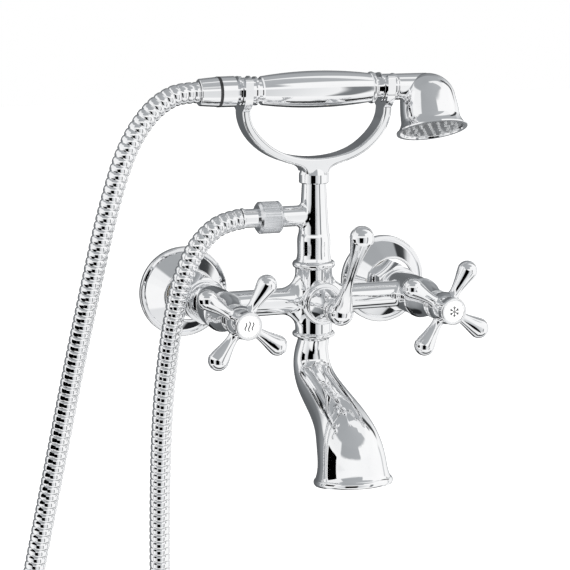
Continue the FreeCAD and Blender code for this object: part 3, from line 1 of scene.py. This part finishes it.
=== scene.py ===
import bmesh
import bpy
import math
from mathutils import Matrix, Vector


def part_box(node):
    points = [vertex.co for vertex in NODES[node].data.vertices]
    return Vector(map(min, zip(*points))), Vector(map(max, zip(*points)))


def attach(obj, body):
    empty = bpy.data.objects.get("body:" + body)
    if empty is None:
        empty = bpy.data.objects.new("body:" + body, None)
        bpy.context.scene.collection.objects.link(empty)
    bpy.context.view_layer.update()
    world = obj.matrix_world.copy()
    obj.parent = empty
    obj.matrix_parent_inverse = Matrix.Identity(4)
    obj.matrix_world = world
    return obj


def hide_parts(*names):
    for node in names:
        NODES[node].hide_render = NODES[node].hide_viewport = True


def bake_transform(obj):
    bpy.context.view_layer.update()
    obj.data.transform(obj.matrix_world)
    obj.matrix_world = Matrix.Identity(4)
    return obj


# Wall mounted bath and shower mixer around its CAD frame, in metres.  The wall is the
# plane y = 0, the mixer stands out along -Y, and +Z is up.

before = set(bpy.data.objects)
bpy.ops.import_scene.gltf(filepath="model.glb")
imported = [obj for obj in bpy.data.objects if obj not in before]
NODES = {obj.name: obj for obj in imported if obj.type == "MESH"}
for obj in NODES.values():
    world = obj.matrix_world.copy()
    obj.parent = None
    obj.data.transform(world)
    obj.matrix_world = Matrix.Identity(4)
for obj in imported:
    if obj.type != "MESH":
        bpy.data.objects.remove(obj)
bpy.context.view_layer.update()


def add_object(name, data):
    """New object with this data, in the scene."""
    piece = bpy.data.objects.new(name, data)
    bpy.context.scene.collection.objects.link(piece)
    return piece


# ---------------------------------------------------------------- camera
AZIMUTH = math.radians(-20.0)
ELEVATION = math.radians(10.4)
DISTANCE = 1.372

camera_data = bpy.data.cameras.new("camera")
camera = add_object("camera", camera_data)
camera.location = (
    DISTANCE * math.sin(AZIMUTH) * math.cos(ELEVATION),
    -DISTANCE * math.cos(AZIMUTH) * math.cos(ELEVATION),
    DISTANCE * math.sin(ELEVATION),
)
camera.rotation_euler = (-camera.location).to_track_quat("-Z", "Y").to_euler()
camera_data.sensor_width = 36.0
camera_data.lens = 121.9
camera_data.shift_x = 0.0022
camera_data.shift_y = -0.0012
camera_data.clip_start = 0.05
camera_data.clip_end = 60.0
bpy.context.scene.camera = camera

# ---------------------------------------------------------------- hose
HOSE_Y = -0.0595             # plane of the hose
HOSE_RADIUS = 0.007
RIB_PITCH = 0.0048
# Radii along one rib, from the bottom of a groove over the rib to the next groove.
RIB_RADII = [0.00625, 0.0067, 0.00692, HOSE_RADIUS, HOSE_RADIUS, HOSE_RADIUS, 0.00692, 0.0067]
HOSE_SIDES = 36
SHARP_FOLD = math.radians(38)
# Control points of the hose in its vertical plane (x, z), from the outlet ferrule
# down, round the loop and up to the hand shower.
HOSE_ROUTE = [
    (-0.052, 0.058), (-0.0625, 0.0565), (-0.0725, 0.0515), (-0.0815, 0.0425),
    (-0.0885, 0.031), (-0.0945, 0.016), (-0.0985, -0.001), (-0.1035, -0.028),
    (-0.1080, -0.065), (-0.1105, -0.115), (-0.1115, -0.178),
    (-0.111, -0.245), (-0.106, -0.308), (-0.103, -0.362), (-0.1045, -0.405), (-0.112, -0.433),
    (-0.129, -0.452), (-0.154, -0.461), (-0.181, -0.457), (-0.202, -0.440), (-0.213, -0.412),
    (-0.217, -0.372), (-0.2175, -0.320), (-0.214, -0.260), (-0.2045, -0.200), (-0.1925, -0.145),
    (-0.1795, -0.086), (-0.168, -0.033), (-0.1565, 0.016), (-0.147, 0.055), (-0.1395, 0.081),
    (-0.132, 0.103), (-0.1235, 0.119), (-0.1135, 0.1315), (-0.1035, 0.139),
    (-0.093, 0.143), (-0.082, 0.143),
]


def route_line(points, name):
    """Points along the smooth spline that has the route as its control points."""
    curve = bpy.data.curves.new(name, "CURVE")
    curve.dimensions = "3D"
    curve.resolution_u = 32
    spline = curve.splines.new("NURBS")
    spline.points.add(len(points) - 1)
    for point, (x, z) in zip(spline.points, points):
        point.co = (x, HOSE_Y, z, 1.0)
    spline.order_u = 3
    spline.use_endpoint_u = True
    carrier = add_object(name, curve)
    bpy.context.view_layer.update()
    mesh = bpy.data.meshes.new_from_object(carrier)
    line = [vertex.co.copy() for vertex in mesh.vertices]
    bpy.data.objects.remove(carrier)
    bpy.data.meshes.remove(mesh)
    return line


def stations(line, step):
    """Evenly spaced places on a line: (point, direction)."""
    places = []
    travelled = 0.0
    wanted = 0.0
    for a, b in zip(line, line[1:]):
        length = (b - a).length
        while length > 0 and wanted <= travelled + length:
            share = (wanted - travelled) / length
            places.append((a.lerp(b, share), (b - a).normalized()))
            wanted += step
        travelled += length
    places.append((line[-1].copy(), (line[-1] - line[-2]).normalized()))
    return places, travelled


def shade_smooth(mesh):
    """Outward faces, smooth but for the sharp folds."""
    bm = bmesh.new()
    bm.from_mesh(mesh)
    bmesh.ops.recalc_face_normals(bm, faces=bm.faces)
    for face in bm.faces:
        face.smooth = True
    for edge in bm.edges:
        if len(edge.link_faces) == 2 and edge.calc_face_angle(0) > SHARP_FOLD:
            edge.smooth = False
    bm.to_mesh(mesh)
    bm.free()


def interlocked_hose(line):
    """Chromed strip wound in ribs and grooves, as one tube mesh; and its length."""
    sides = HOSE_SIDES
    places, length = stations(line, RIB_PITCH / len(RIB_RADII))
    mesh = bpy.data.meshes.new("shower_hose_sheath")
    verts = []
    faces = []
    across = Vector((0, 1, 0))
    for i, (point, along) in enumerate(places):
        radius = RIB_RADII[i % len(RIB_RADII)]
        up = along.cross(across).normalized()
        for k in range(sides):
            angle = 2 * math.pi * k / sides
            verts.append(point + (across * math.cos(angle) + up * math.sin(angle)) * radius)
    for i in range(len(places) - 1):
        for k in range(sides):
            a = i * sides + k
            b = i * sides + (k + 1) % sides
            faces.append((a, b, b + sides, a + sides))
    faces.append(tuple(range(sides)))
    faces.append(tuple(reversed(range((len(places) - 1) * sides, len(places) * sides))))
    mesh.from_pydata(verts, [], faces)
    mesh.update()
    shade_smooth(mesh)
    return add_object("shower_hose_sheath", mesh), length


hose_line = route_line(HOSE_ROUTE, "hose_route")
hose, hose_length = interlocked_hose(hose_line)


# ---------------------------------------------------------------- materials
NOISE_LOW = 0.3              # nearly all of a noise's values lie between these two
NOISE_HIGH = 0.7


def new_material(name):
    """Empty material with its node tree and its main shader."""
    material = bpy.data.materials.new(name)
    material.use_nodes = True
    tree = material.node_tree
    shader = tree.nodes["Principled BSDF"]
    return material, tree, shader


def noise(tree, scale, detail=4.0, roughness=0.5, stretch=(1, 1, 1)):
    """Noise in the object's own space."""
    place = tree.nodes.new("ShaderNodeTexCoord")
    mapping = tree.nodes.new("ShaderNodeMapping")
    mapping.inputs["Scale"].default_value = stretch
    tree.links.new(place.outputs["Object"], mapping.inputs["Vector"])
    texture = tree.nodes.new("ShaderNodeTexNoise")
    texture.inputs["Scale"].default_value = scale
    texture.inputs["Detail"].default_value = detail
    texture.inputs["Roughness"].default_value = roughness
    tree.links.new(mapping.outputs["Vector"], texture.inputs["Vector"])
    return texture


def ramp(tree, source, stops):
    """Colour ramp over a 0 to 1 value."""
    node = tree.nodes.new("ShaderNodeValToRGB")
    elements = node.color_ramp.elements
    while len(elements) < len(stops):
        elements.new(0.5)
    for element, (position, colour) in zip(elements, stops):
        element.position = position
        element.color = (*colour, 1.0)
    tree.links.new(source, node.inputs["Fac"])
    return node


def vary(tree, source, low, high, socket):
    """Feed a socket from a noise, between two limits."""
    node = tree.nodes.new("ShaderNodeMapRange")
    node.inputs["From Min"].default_value = NOISE_LOW
    node.inputs["From Max"].default_value = NOISE_HIGH
    node.inputs["To Min"].default_value = low
    node.inputs["To Max"].default_value = high
    tree.links.new(source, node.inputs["Value"])
    tree.links.new(node.outputs["Result"], socket)


def bump(tree, shader, source, strength, depth):
    """Fine relief of a surface, from a 0 to 1 value."""
    node = tree.nodes.new("ShaderNodeBump")
    node.inputs["Strength"].default_value = strength
    node.inputs["Distance"].default_value = depth
    tree.links.new(source, node.inputs["Height"])
    tree.links.new(node.outputs["Normal"], shader.inputs["Normal"])


def chrome(name, light, dark, smooth, dull, ripple):
    """Polished chromium: faint cloudiness in colour and gloss, and a slight waviness."""
    material, tree, shader = new_material(name)
    shader.inputs["Metallic"].default_value = 1.0
    cloud = noise(tree, scale=34.0, detail=5.0, roughness=0.6)
    colours = ramp(tree, cloud.outputs["Fac"], [(NOISE_LOW, dark), (0.72, light)])
    tree.links.new(colours.outputs["Color"], shader.inputs["Base Color"])
    smear = noise(tree, scale=90.0, detail=6.0, roughness=0.65, stretch=(1, 1, 2.4))
    vary(tree, smear.outputs["Fac"], smooth, dull, shader.inputs["Roughness"])
    wave = noise(tree, scale=46.0, detail=2.0, roughness=0.4)
    bump(tree, shader, wave.outputs["Fac"], strength=ripple, depth=0.0006)
    return material


def machined(name, light, dark, smooth, dull, grain):
    """Turned or drawn metal with fine tool marks."""
    material, tree, shader = new_material(name)
    shader.inputs["Metallic"].default_value = 1.0
    cloud = noise(tree, scale=60.0, detail=5.0, roughness=0.6)
    colours = ramp(tree, cloud.outputs["Fac"], [(NOISE_LOW, dark), (NOISE_HIGH, light)])
    tree.links.new(colours.outputs["Color"], shader.inputs["Base Color"])
    marks = noise(tree, scale=grain, detail=3.0, roughness=0.6, stretch=(1, 14, 1))
    vary(tree, marks.outputs["Fac"], smooth, dull, shader.inputs["Roughness"])
    bump(tree, shader, marks.outputs["Fac"], strength=0.2, depth=0.0002)
    return material


def moulded(name, light, dark, smooth, dull, grain, depth):
    """Plastic, rubber or enamel with a fine surface grain."""
    material, tree, shader = new_material(name)
    cloud = noise(tree, scale=70.0, detail=4.0, roughness=0.55)
    colours = ramp(tree, cloud.outputs["Fac"], [(NOISE_LOW, dark), (NOISE_HIGH, light)])
    tree.links.new(colours.outputs["Color"], shader.inputs["Base Color"])
    fine = noise(tree, scale=grain, detail=4.0, roughness=0.6)
    vary(tree, fine.outputs["Fac"], smooth, dull, shader.inputs["Roughness"])
    bump(tree, shader, fine.outputs["Fac"], strength=0.25, depth=depth)
    return material


# Each has a light and a dark colour, then its lowest and highest roughness, then the size
# of its ripple or the fineness of its grain.
CHROME = chrome("chrome", (0.985, 0.985, 0.99), (0.95, 0.953, 0.96), 0.02, 0.04, 0.06)
CHROME_CAST = chrome("chrome_cast", (0.985, 0.985, 0.99), (0.945, 0.95, 0.957), 0.02, 0.05, 0.14)
CHROME_SATIN = chrome("chrome_knurled", (0.86, 0.87, 0.885), (0.74, 0.75, 0.77), 0.16, 0.30, 0.25)
CHROME_HOSE = chrome("chrome_hose", (0.985, 0.985, 0.99), (0.94, 0.945, 0.955), 0.025, 0.05, 0.05)
CHROME_PLATE = chrome("chrome_brushed", (0.93, 0.935, 0.94), (0.82, 0.83, 0.84), 0.28, 0.42, 0.10)
BRASS = machined("brass", (0.83, 0.67, 0.38), (0.70, 0.53, 0.27), 0.18, 0.34, 240.0)
STEEL = machined("stainless_steel", (0.68, 0.68, 0.69), (0.54, 0.54, 0.55), 0.2, 0.36, 260.0)
RUBBER = moulded("seal_rubber", (0.035, 0.035, 0.036), (0.018, 0.018, 0.019), 0.5, 0.7, 900.0, 0.0001)
NOZZLE = moulded("nozzle_rubber", (0.62, 0.63, 0.64), (0.5, 0.51, 0.52), 0.4, 0.55, 700.0, 0.0001)
BLACK = moulded("black_plastic", (0.03, 0.03, 0.032), (0.015, 0.015, 0.016), 0.22, 0.34, 500.0, 0.00005)
GREY = moulded("grey_plastic", (0.56, 0.57, 0.58), (0.46, 0.47, 0.48), 0.4, 0.55, 500.0, 0.0001)
CERAMIC = moulded("lapped_ceramic", (0.94, 0.93, 0.89), (0.88, 0.87, 0.83), 0.08, 0.16, 300.0, 0.00002)
ENAMEL = moulded("white_enamel", (0.93, 0.93, 0.925), (0.87, 0.87, 0.865), 0.10, 0.18, 160.0, 0.00005)
INK = moulded("icon_ink", (0.035, 0.037, 0.042), (0.02, 0.021, 0.024), 0.3, 0.42, 400.0, 0.00004)

# Nodes that aren't in plain polished chrome.
SPECIAL = {
    "mixer_body": CHROME_CAST, "spout": CHROME_CAST, "cradle": CHROME_CAST,
    "riser_column": CHROME_CAST, "knurled_hose_nut": CHROME_SATIN, "spray_plate": CHROME_PLATE,
    "hot_s_union": BRASS, "cold_s_union": BRASS, "tail_pieces": BRASS,
    "hot_headwork": BRASS, "cold_headwork": BRASS, "hot_spindle": BRASS, "cold_spindle": BRASS,
    "handset_tube": BRASS, "diverter_rotor": BRASS,
    "hot_fixed_disc": CERAMIC, "cold_fixed_disc": CERAMIC,
    "hot_turning_disc": CERAMIC, "cold_turning_disc": CERAMIC,
    "hot_index_disc": ENAMEL, "cold_index_disc": ENAMEL,
    "inlet_washers": RUBBER, "seat_seals": RUBBER, "spindle_seals": RUBBER, "spigot_seals": RUBBER,
    "outlet_washer": RUBBER, "handset_washer": RUBBER, "spray_plate_seal": RUBBER,
    "spray_nozzles": NOZZLE, "tail_ring": BLACK, "straightener_screen": GREY,
    "cradle_grub_screw": STEEL, "lever_grub_screw": STEEL,
    "hot_handle_screw": STEEL, "cold_handle_screw": STEEL,
}
for name, obj in NODES.items():
    obj.data.materials.clear()
    obj.data.materials.append(SPECIAL.get(name, CHROME))

hose.data.materials.append(CHROME_HOSE)
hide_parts("shower_hose")
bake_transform(hose)


# ---------------------------------------------------------------- hot and cold icons
DISC_DOME = 0.0411           # radius of the sphere that the discs' faces belong to
INK_PROUD = 0.00008          # the print stands this far out of the disc
INK_SUNK = 0.0001            # and reaches this far into it
STROKE_TAPER = 0.55          # width of a stroke's ends, as a share of its middle


def ribbon(points, width, cap_x, face_y):
    """Flat printed stroke through points (x, z) on the domed disc, as vertices and faces."""
    verts = []
    faces = []
    for i, (x, z) in enumerate(points):
        before = Vector(points[max(i - 1, 0)])
        after = Vector(points[min(i + 1, len(points) - 1)])
        along = (after - before).normalized()
        side = Vector((-along.y, along.x)) * width / 2
        taper = STROKE_TAPER if i in (0, len(points) - 1) else 1.0
        for sign in (-1, 1):
            px = x + side.x * sign * taper
            pz = z + side.y * sign * taper
            drop = DISC_DOME - math.sqrt(DISC_DOME * DISC_DOME - px * px - pz * pz)
            verts.append((cap_x + px, face_y - INK_PROUD + drop, pz))
            verts.append((cap_x + px, face_y + INK_SUNK + drop, pz))
    for i in range(len(points) - 1):
        a = 4 * i
        faces += [(a, a + 4, a + 6, a + 2), (a + 1, a + 3, a + 7, a + 5),
                  (a, a + 1, a + 5, a + 4), (a + 2, a + 6, a + 7, a + 3)]
    last = 4 * (len(points) - 1)
    faces += [(0, 2, 3, 1), (last, last + 1, last + 3, last + 2)]
    return verts, faces


def icon(name, strokes, width, node, body):
    """One mesh of printed strokes on an index disc."""
    low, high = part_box(node)
    middle_x = (low[0] + high[0]) / 2
    face_y = low[1]
    verts = []
    faces = []
    for points in strokes:
        more, quads = ribbon(points, width, middle_x, face_y)
        faces += [tuple(index + len(verts) for index in quad) for quad in quads]
        verts += more
    mesh = bpy.data.meshes.new(name)
    mesh.from_pydata(verts, [], faces)
    mesh.update()
    mesh.materials.append(INK)
    piece = add_object(name, mesh)
    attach(piece, body)


def heat_strokes():
    """Three rising wavy lines."""
    wave = 0.0006
    half_steps = 6
    strokes = []
    for shift, reach in ((-0.0024, 0.0026), (0.0, 0.0034), (0.0024, 0.0026)):
        stroke = []
        for i in range(2 * half_steps + 1):
            t = -1 + i / half_steps
            stroke.append((shift + wave * math.sin(t * math.pi), t * reach))
        strokes.append(stroke)
    return strokes


def frost_strokes():
    """Six-armed crystal."""
    start, middle, end = 0.0002, 0.002, 0.0038
    fork_at = 0.0021
    fork_reach = 0.0009
    strokes = []
    for i in range(6):
        angle = math.pi * i / 3 + math.pi / 6
        out = Vector((math.cos(angle), math.sin(angle)))
        side = Vector((-out.y, out.x))
        strokes.append([tuple(out * start), tuple(out * middle), tuple(out * end)])
        for sign in (-1, 1):
            root = out * fork_at
            tip = root + (out + side * sign) * fork_reach
            strokes.append([tuple(root), tuple((root + tip) / 2), tuple(tip)])
    return strokes


icon("heat_icon", heat_strokes(), 0.0007, "hot_index_disc", "hot_handle")
icon("frost_icon", frost_strokes(), 0.0006, "cold_index_disc", "cold_handle")


# ---------------------------------------------------------------- studio
FLOOR_REACH = 8.0
FLOOR_LEVEL = -0.6


def pale_floor():
    """Material of the floor: nearly white, with a faint glow that keeps its far end pale."""
    material, tree, shader = new_material("pale_floor")
    shader.inputs["Roughness"].default_value = 0.9
    shader.inputs["Emission Color"].default_value = (1.0, 1.0, 1.0, 1.0)
    shader.inputs["Emission Strength"].default_value = 0.3
    cloud = noise(tree, scale=3.0)
    greys = [(NOISE_LOW, (0.90, 0.90, 0.90)), (NOISE_HIGH, (0.93, 0.93, 0.93))]
    colours = ramp(tree, cloud.outputs["Fac"], greys)
    tree.links.new(colours.outputs["Color"], shader.inputs["Base Color"])
    return material


def stage_card(name, corners, material):
    """One flat face of the studio, which isn't part of the object."""
    mesh = bpy.data.meshes.new(name)
    mesh.from_pydata(corners, [], [(0, 1, 2, 3)])
    mesh.materials.append(material)
    card = add_object(name, mesh)
    return card


FLOOR_CORNERS = ((-1, -1), (1, -1), (1, 1), (-1, 1))
floor_edge = [(FLOOR_REACH * x, FLOOR_REACH * y, FLOOR_LEVEL) for x, y in FLOOR_CORNERS]
floor = stage_card("floor", floor_edge, pale_floor())
floor.visible_glossy = False

# What the chrome reflects, ring by ring from the ground up. Each ring starts at an elevation
# in degrees and holds grey levels by azimuth: 0 is in front of the mixer, minus is to its
# left. The lowest ring goes by the angle about the line along the wall instead: 0 is
# straight down, plus is behind.
GROUND = [
    (-90, 0.93), (-40, 0.95), (-16, 0.84), (-13, 0.02), (1, 0.02), (5, 0.62), (20, 0.82),
    (30, 0.70), (33, 0.02), (52, 0.02), (56, 0.40), (70, 0.20), (90, 0.10),
]
RINGS = [
    (-38, [(-180, 0.12), (-160, 0.14), (-136, 0.30), (-124, 0.36), (-119, 0.97), (-80, 0.95),
           (-46, 0.62), (-42, 0.0), (-9, 0.0), (-6, 0.60), (22, 0.88), (27, 0.92), (30, 0.22),
           (37, 0.22), (40, 0.96), (96, 0.98), (100, 0.55), (108, 0.97), (132, 0.90),
           (142, 0.40), (156, 0.12), (180, 0.12)]),
    (12, [(-180, 0.14), (-160, 0.18), (-146, 0.50), (-138, 0.93), (-75, 0.93), (-20, 0.97),
          (40, 0.95), (90, 1.0), (108, 0.97), (111, 0.05), (118, 0.05), (121, 0.80),
          (136, 0.60), (150, 0.20), (180, 0.14)]),
    (27, [(-180, 0.20), (-160, 0.30), (-146, 0.60), (-138, 0.90), (-66, 0.90), (-62, 0.40),
          (10, 0.44), (14, 0.97), (106, 0.98), (110, 0.05), (118, 0.05), (121, 0.55),
          (150, 0.30), (180, 0.20)]),
    (46, [(-180, 0.40), (-100, 0.40), (0, 0.44), (60, 0.48), (64, 0.92), (100, 0.92), (104, 0.44),
          (180, 0.40)]),
]
RING_BLEND = 3.0
BLUE_TINT = 0.12


def cool(level):
    """Grey with a little blue in its middle tones."""
    shade = BLUE_TINT * level * (1.0 - level)
    return (level - shade, level - shade / 2, level)


class Maths:
    """Small helper that chains maths nodes in one node tree."""

    def __init__(self, tree):
        self.tree = tree

    def do(self, operation, first, second=None):
        """One maths node; its inputs are numbers or the outputs of other nodes."""
        node = self.tree.nodes.new("ShaderNodeMath")
        node.operation = operation
        for socket, value in zip(node.inputs, (first, second)):
            if value is None:
                continue
            if isinstance(value, (int, float)):
                socket.default_value = value
            else:
                self.tree.links.new(value, socket)
        return node.outputs["Value"]

    def levels(self, degrees, reach, stops):
        """Grey level by an angle that runs from minus reach to plus reach."""
        share = self.do("ADD", self.do("DIVIDE", degrees, 2.0 * reach), 0.5)
        grey = [(angle / (2.0 * reach) + 0.5, cool(level)) for angle, level in stops]
        return ramp(self.tree, share, grey).outputs["Color"]

    def step(self, degrees, edge, blend):
        """0 below an edge and 1 above it, with a soft change."""
        node = self.tree.nodes.new("ShaderNodeMapRange")
        node.interpolation_type = "SMOOTHSTEP"
        node.inputs["From Min"].default_value = edge - blend
        node.inputs["From Max"].default_value = edge + blend
        self.tree.links.new(degrees, node.inputs["Value"])
        return node.outputs["Result"]

    def mix(self, share, low, high):
        """One colour that goes from low to high as the share goes from 0 to 1."""
        node = self.tree.nodes.new("ShaderNodeMix")
        node.data_type = "RGBA"
        for socket, value in (("Factor", share), ("A", low), ("B", high)):
            self.tree.links.new(value, node.inputs[socket])
        return node.outputs["Result"]


def studio_world():
    """White all round for light and for the camera; rings of grey and black for reflections."""
    world = bpy.data.worlds.new("studio")
    world.use_nodes = True
    tree = world.node_tree
    tree.nodes.clear()
    maths = Maths(tree)
    place = tree.nodes.new("ShaderNodeTexCoord")
    parts = tree.nodes.new("ShaderNodeSeparateXYZ")
    tree.links.new(place.outputs["Generated"], parts.inputs["Vector"])
    x, y, z = (parts.outputs[axis] for axis in "XYZ")
    azimuth = maths.do("DEGREES", maths.do("ARCTAN2", x, maths.do("MULTIPLY", y, -1.0)))
    elevation = maths.do("DEGREES", maths.do("ARCSINE", z))
    about_wall = maths.do("DEGREES", maths.do("ARCTAN2", y, maths.do("MULTIPLY", z, -1.0)))
    seen = maths.levels(about_wall, 90.0, GROUND)
    for edge, stops in RINGS:
        above = maths.levels(azimuth, 180.0, stops)
        seen = maths.mix(maths.step(elevation, edge, RING_BLEND), seen, above)
    mirrored = tree.nodes.new("ShaderNodeBackground")
    tree.links.new(seen, mirrored.inputs["Color"])
    plain = tree.nodes.new("ShaderNodeBackground")
    plain.inputs["Color"].default_value = (1.0, 1.0, 1.0, 1.0)
    ray = tree.nodes.new("ShaderNodeLightPath")
    choice = tree.nodes.new("ShaderNodeMixShader")
    tree.links.new(ray.outputs["Is Glossy Ray"], choice.inputs["Fac"])
    tree.links.new(plain.outputs["Background"], choice.inputs[1])
    tree.links.new(mirrored.outputs["Background"], choice.inputs[2])
    output = tree.nodes.new("ShaderNodeOutputWorld")
    tree.links.new(choice.outputs["Shader"], output.inputs["Surface"])
    return world


bpy.context.scene.world = studio_world()


def flag(name, corners, level):
    """Card that only reflections meet: neither the camera nor plain light does."""
    material = bpy.data.materials.new(name)
    material.use_nodes = True
    tree = material.node_tree
    tree.nodes.clear()
    glow = tree.nodes.new("ShaderNodeEmission")
    glow.inputs["Color"].default_value = (*cool(level), 1.0)
    output = tree.nodes.new("ShaderNodeOutputMaterial")
    tree.links.new(glow.outputs["Emission"], output.inputs["Surface"])
    card = stage_card(name, corners, material)
    card.visible_camera = False
    card.visible_diffuse = False
    card.visible_shadow = False
    card.visible_transmission = False


# A black card to the left, which the bell of the spout mirrors as one upright stripe.
FLAG_X = -0.30
FLAG_CORNERS = ((-0.205, -0.13), (-0.03, -0.13), (-0.03, 0.02), (-0.205, 0.02))
flag("left_flag", [(FLAG_X, y, z) for y, z in FLAG_CORNERS], 0.0)

LIGHTS_AIM = Vector((0, -0.06, -0.05))


def softbox(name, position, width, height, power):
    """Rectangular soft light that faces the mixer and isn't mirrored in its chrome."""
    data = bpy.data.lights.new(name, "AREA")
    data.shape = "RECTANGLE"
    data.size = width
    data.size_y = height
    data.energy = power
    light = add_object(name, data)
    light.location = position
    light.visible_glossy = False
    light.rotation_euler = (LIGHTS_AIM - light.location).to_track_quat("-Z", "Y").to_euler()


softbox("key_light", (-1.2, -1.0, 1.1), width=1.0, height=1.0, power=14.0)
softbox("fill_light", (1.5, -0.9, 0.5), width=0.9, height=1.2, power=9.0)
bpy.context.scene.view_settings.view_transform = "Standard"
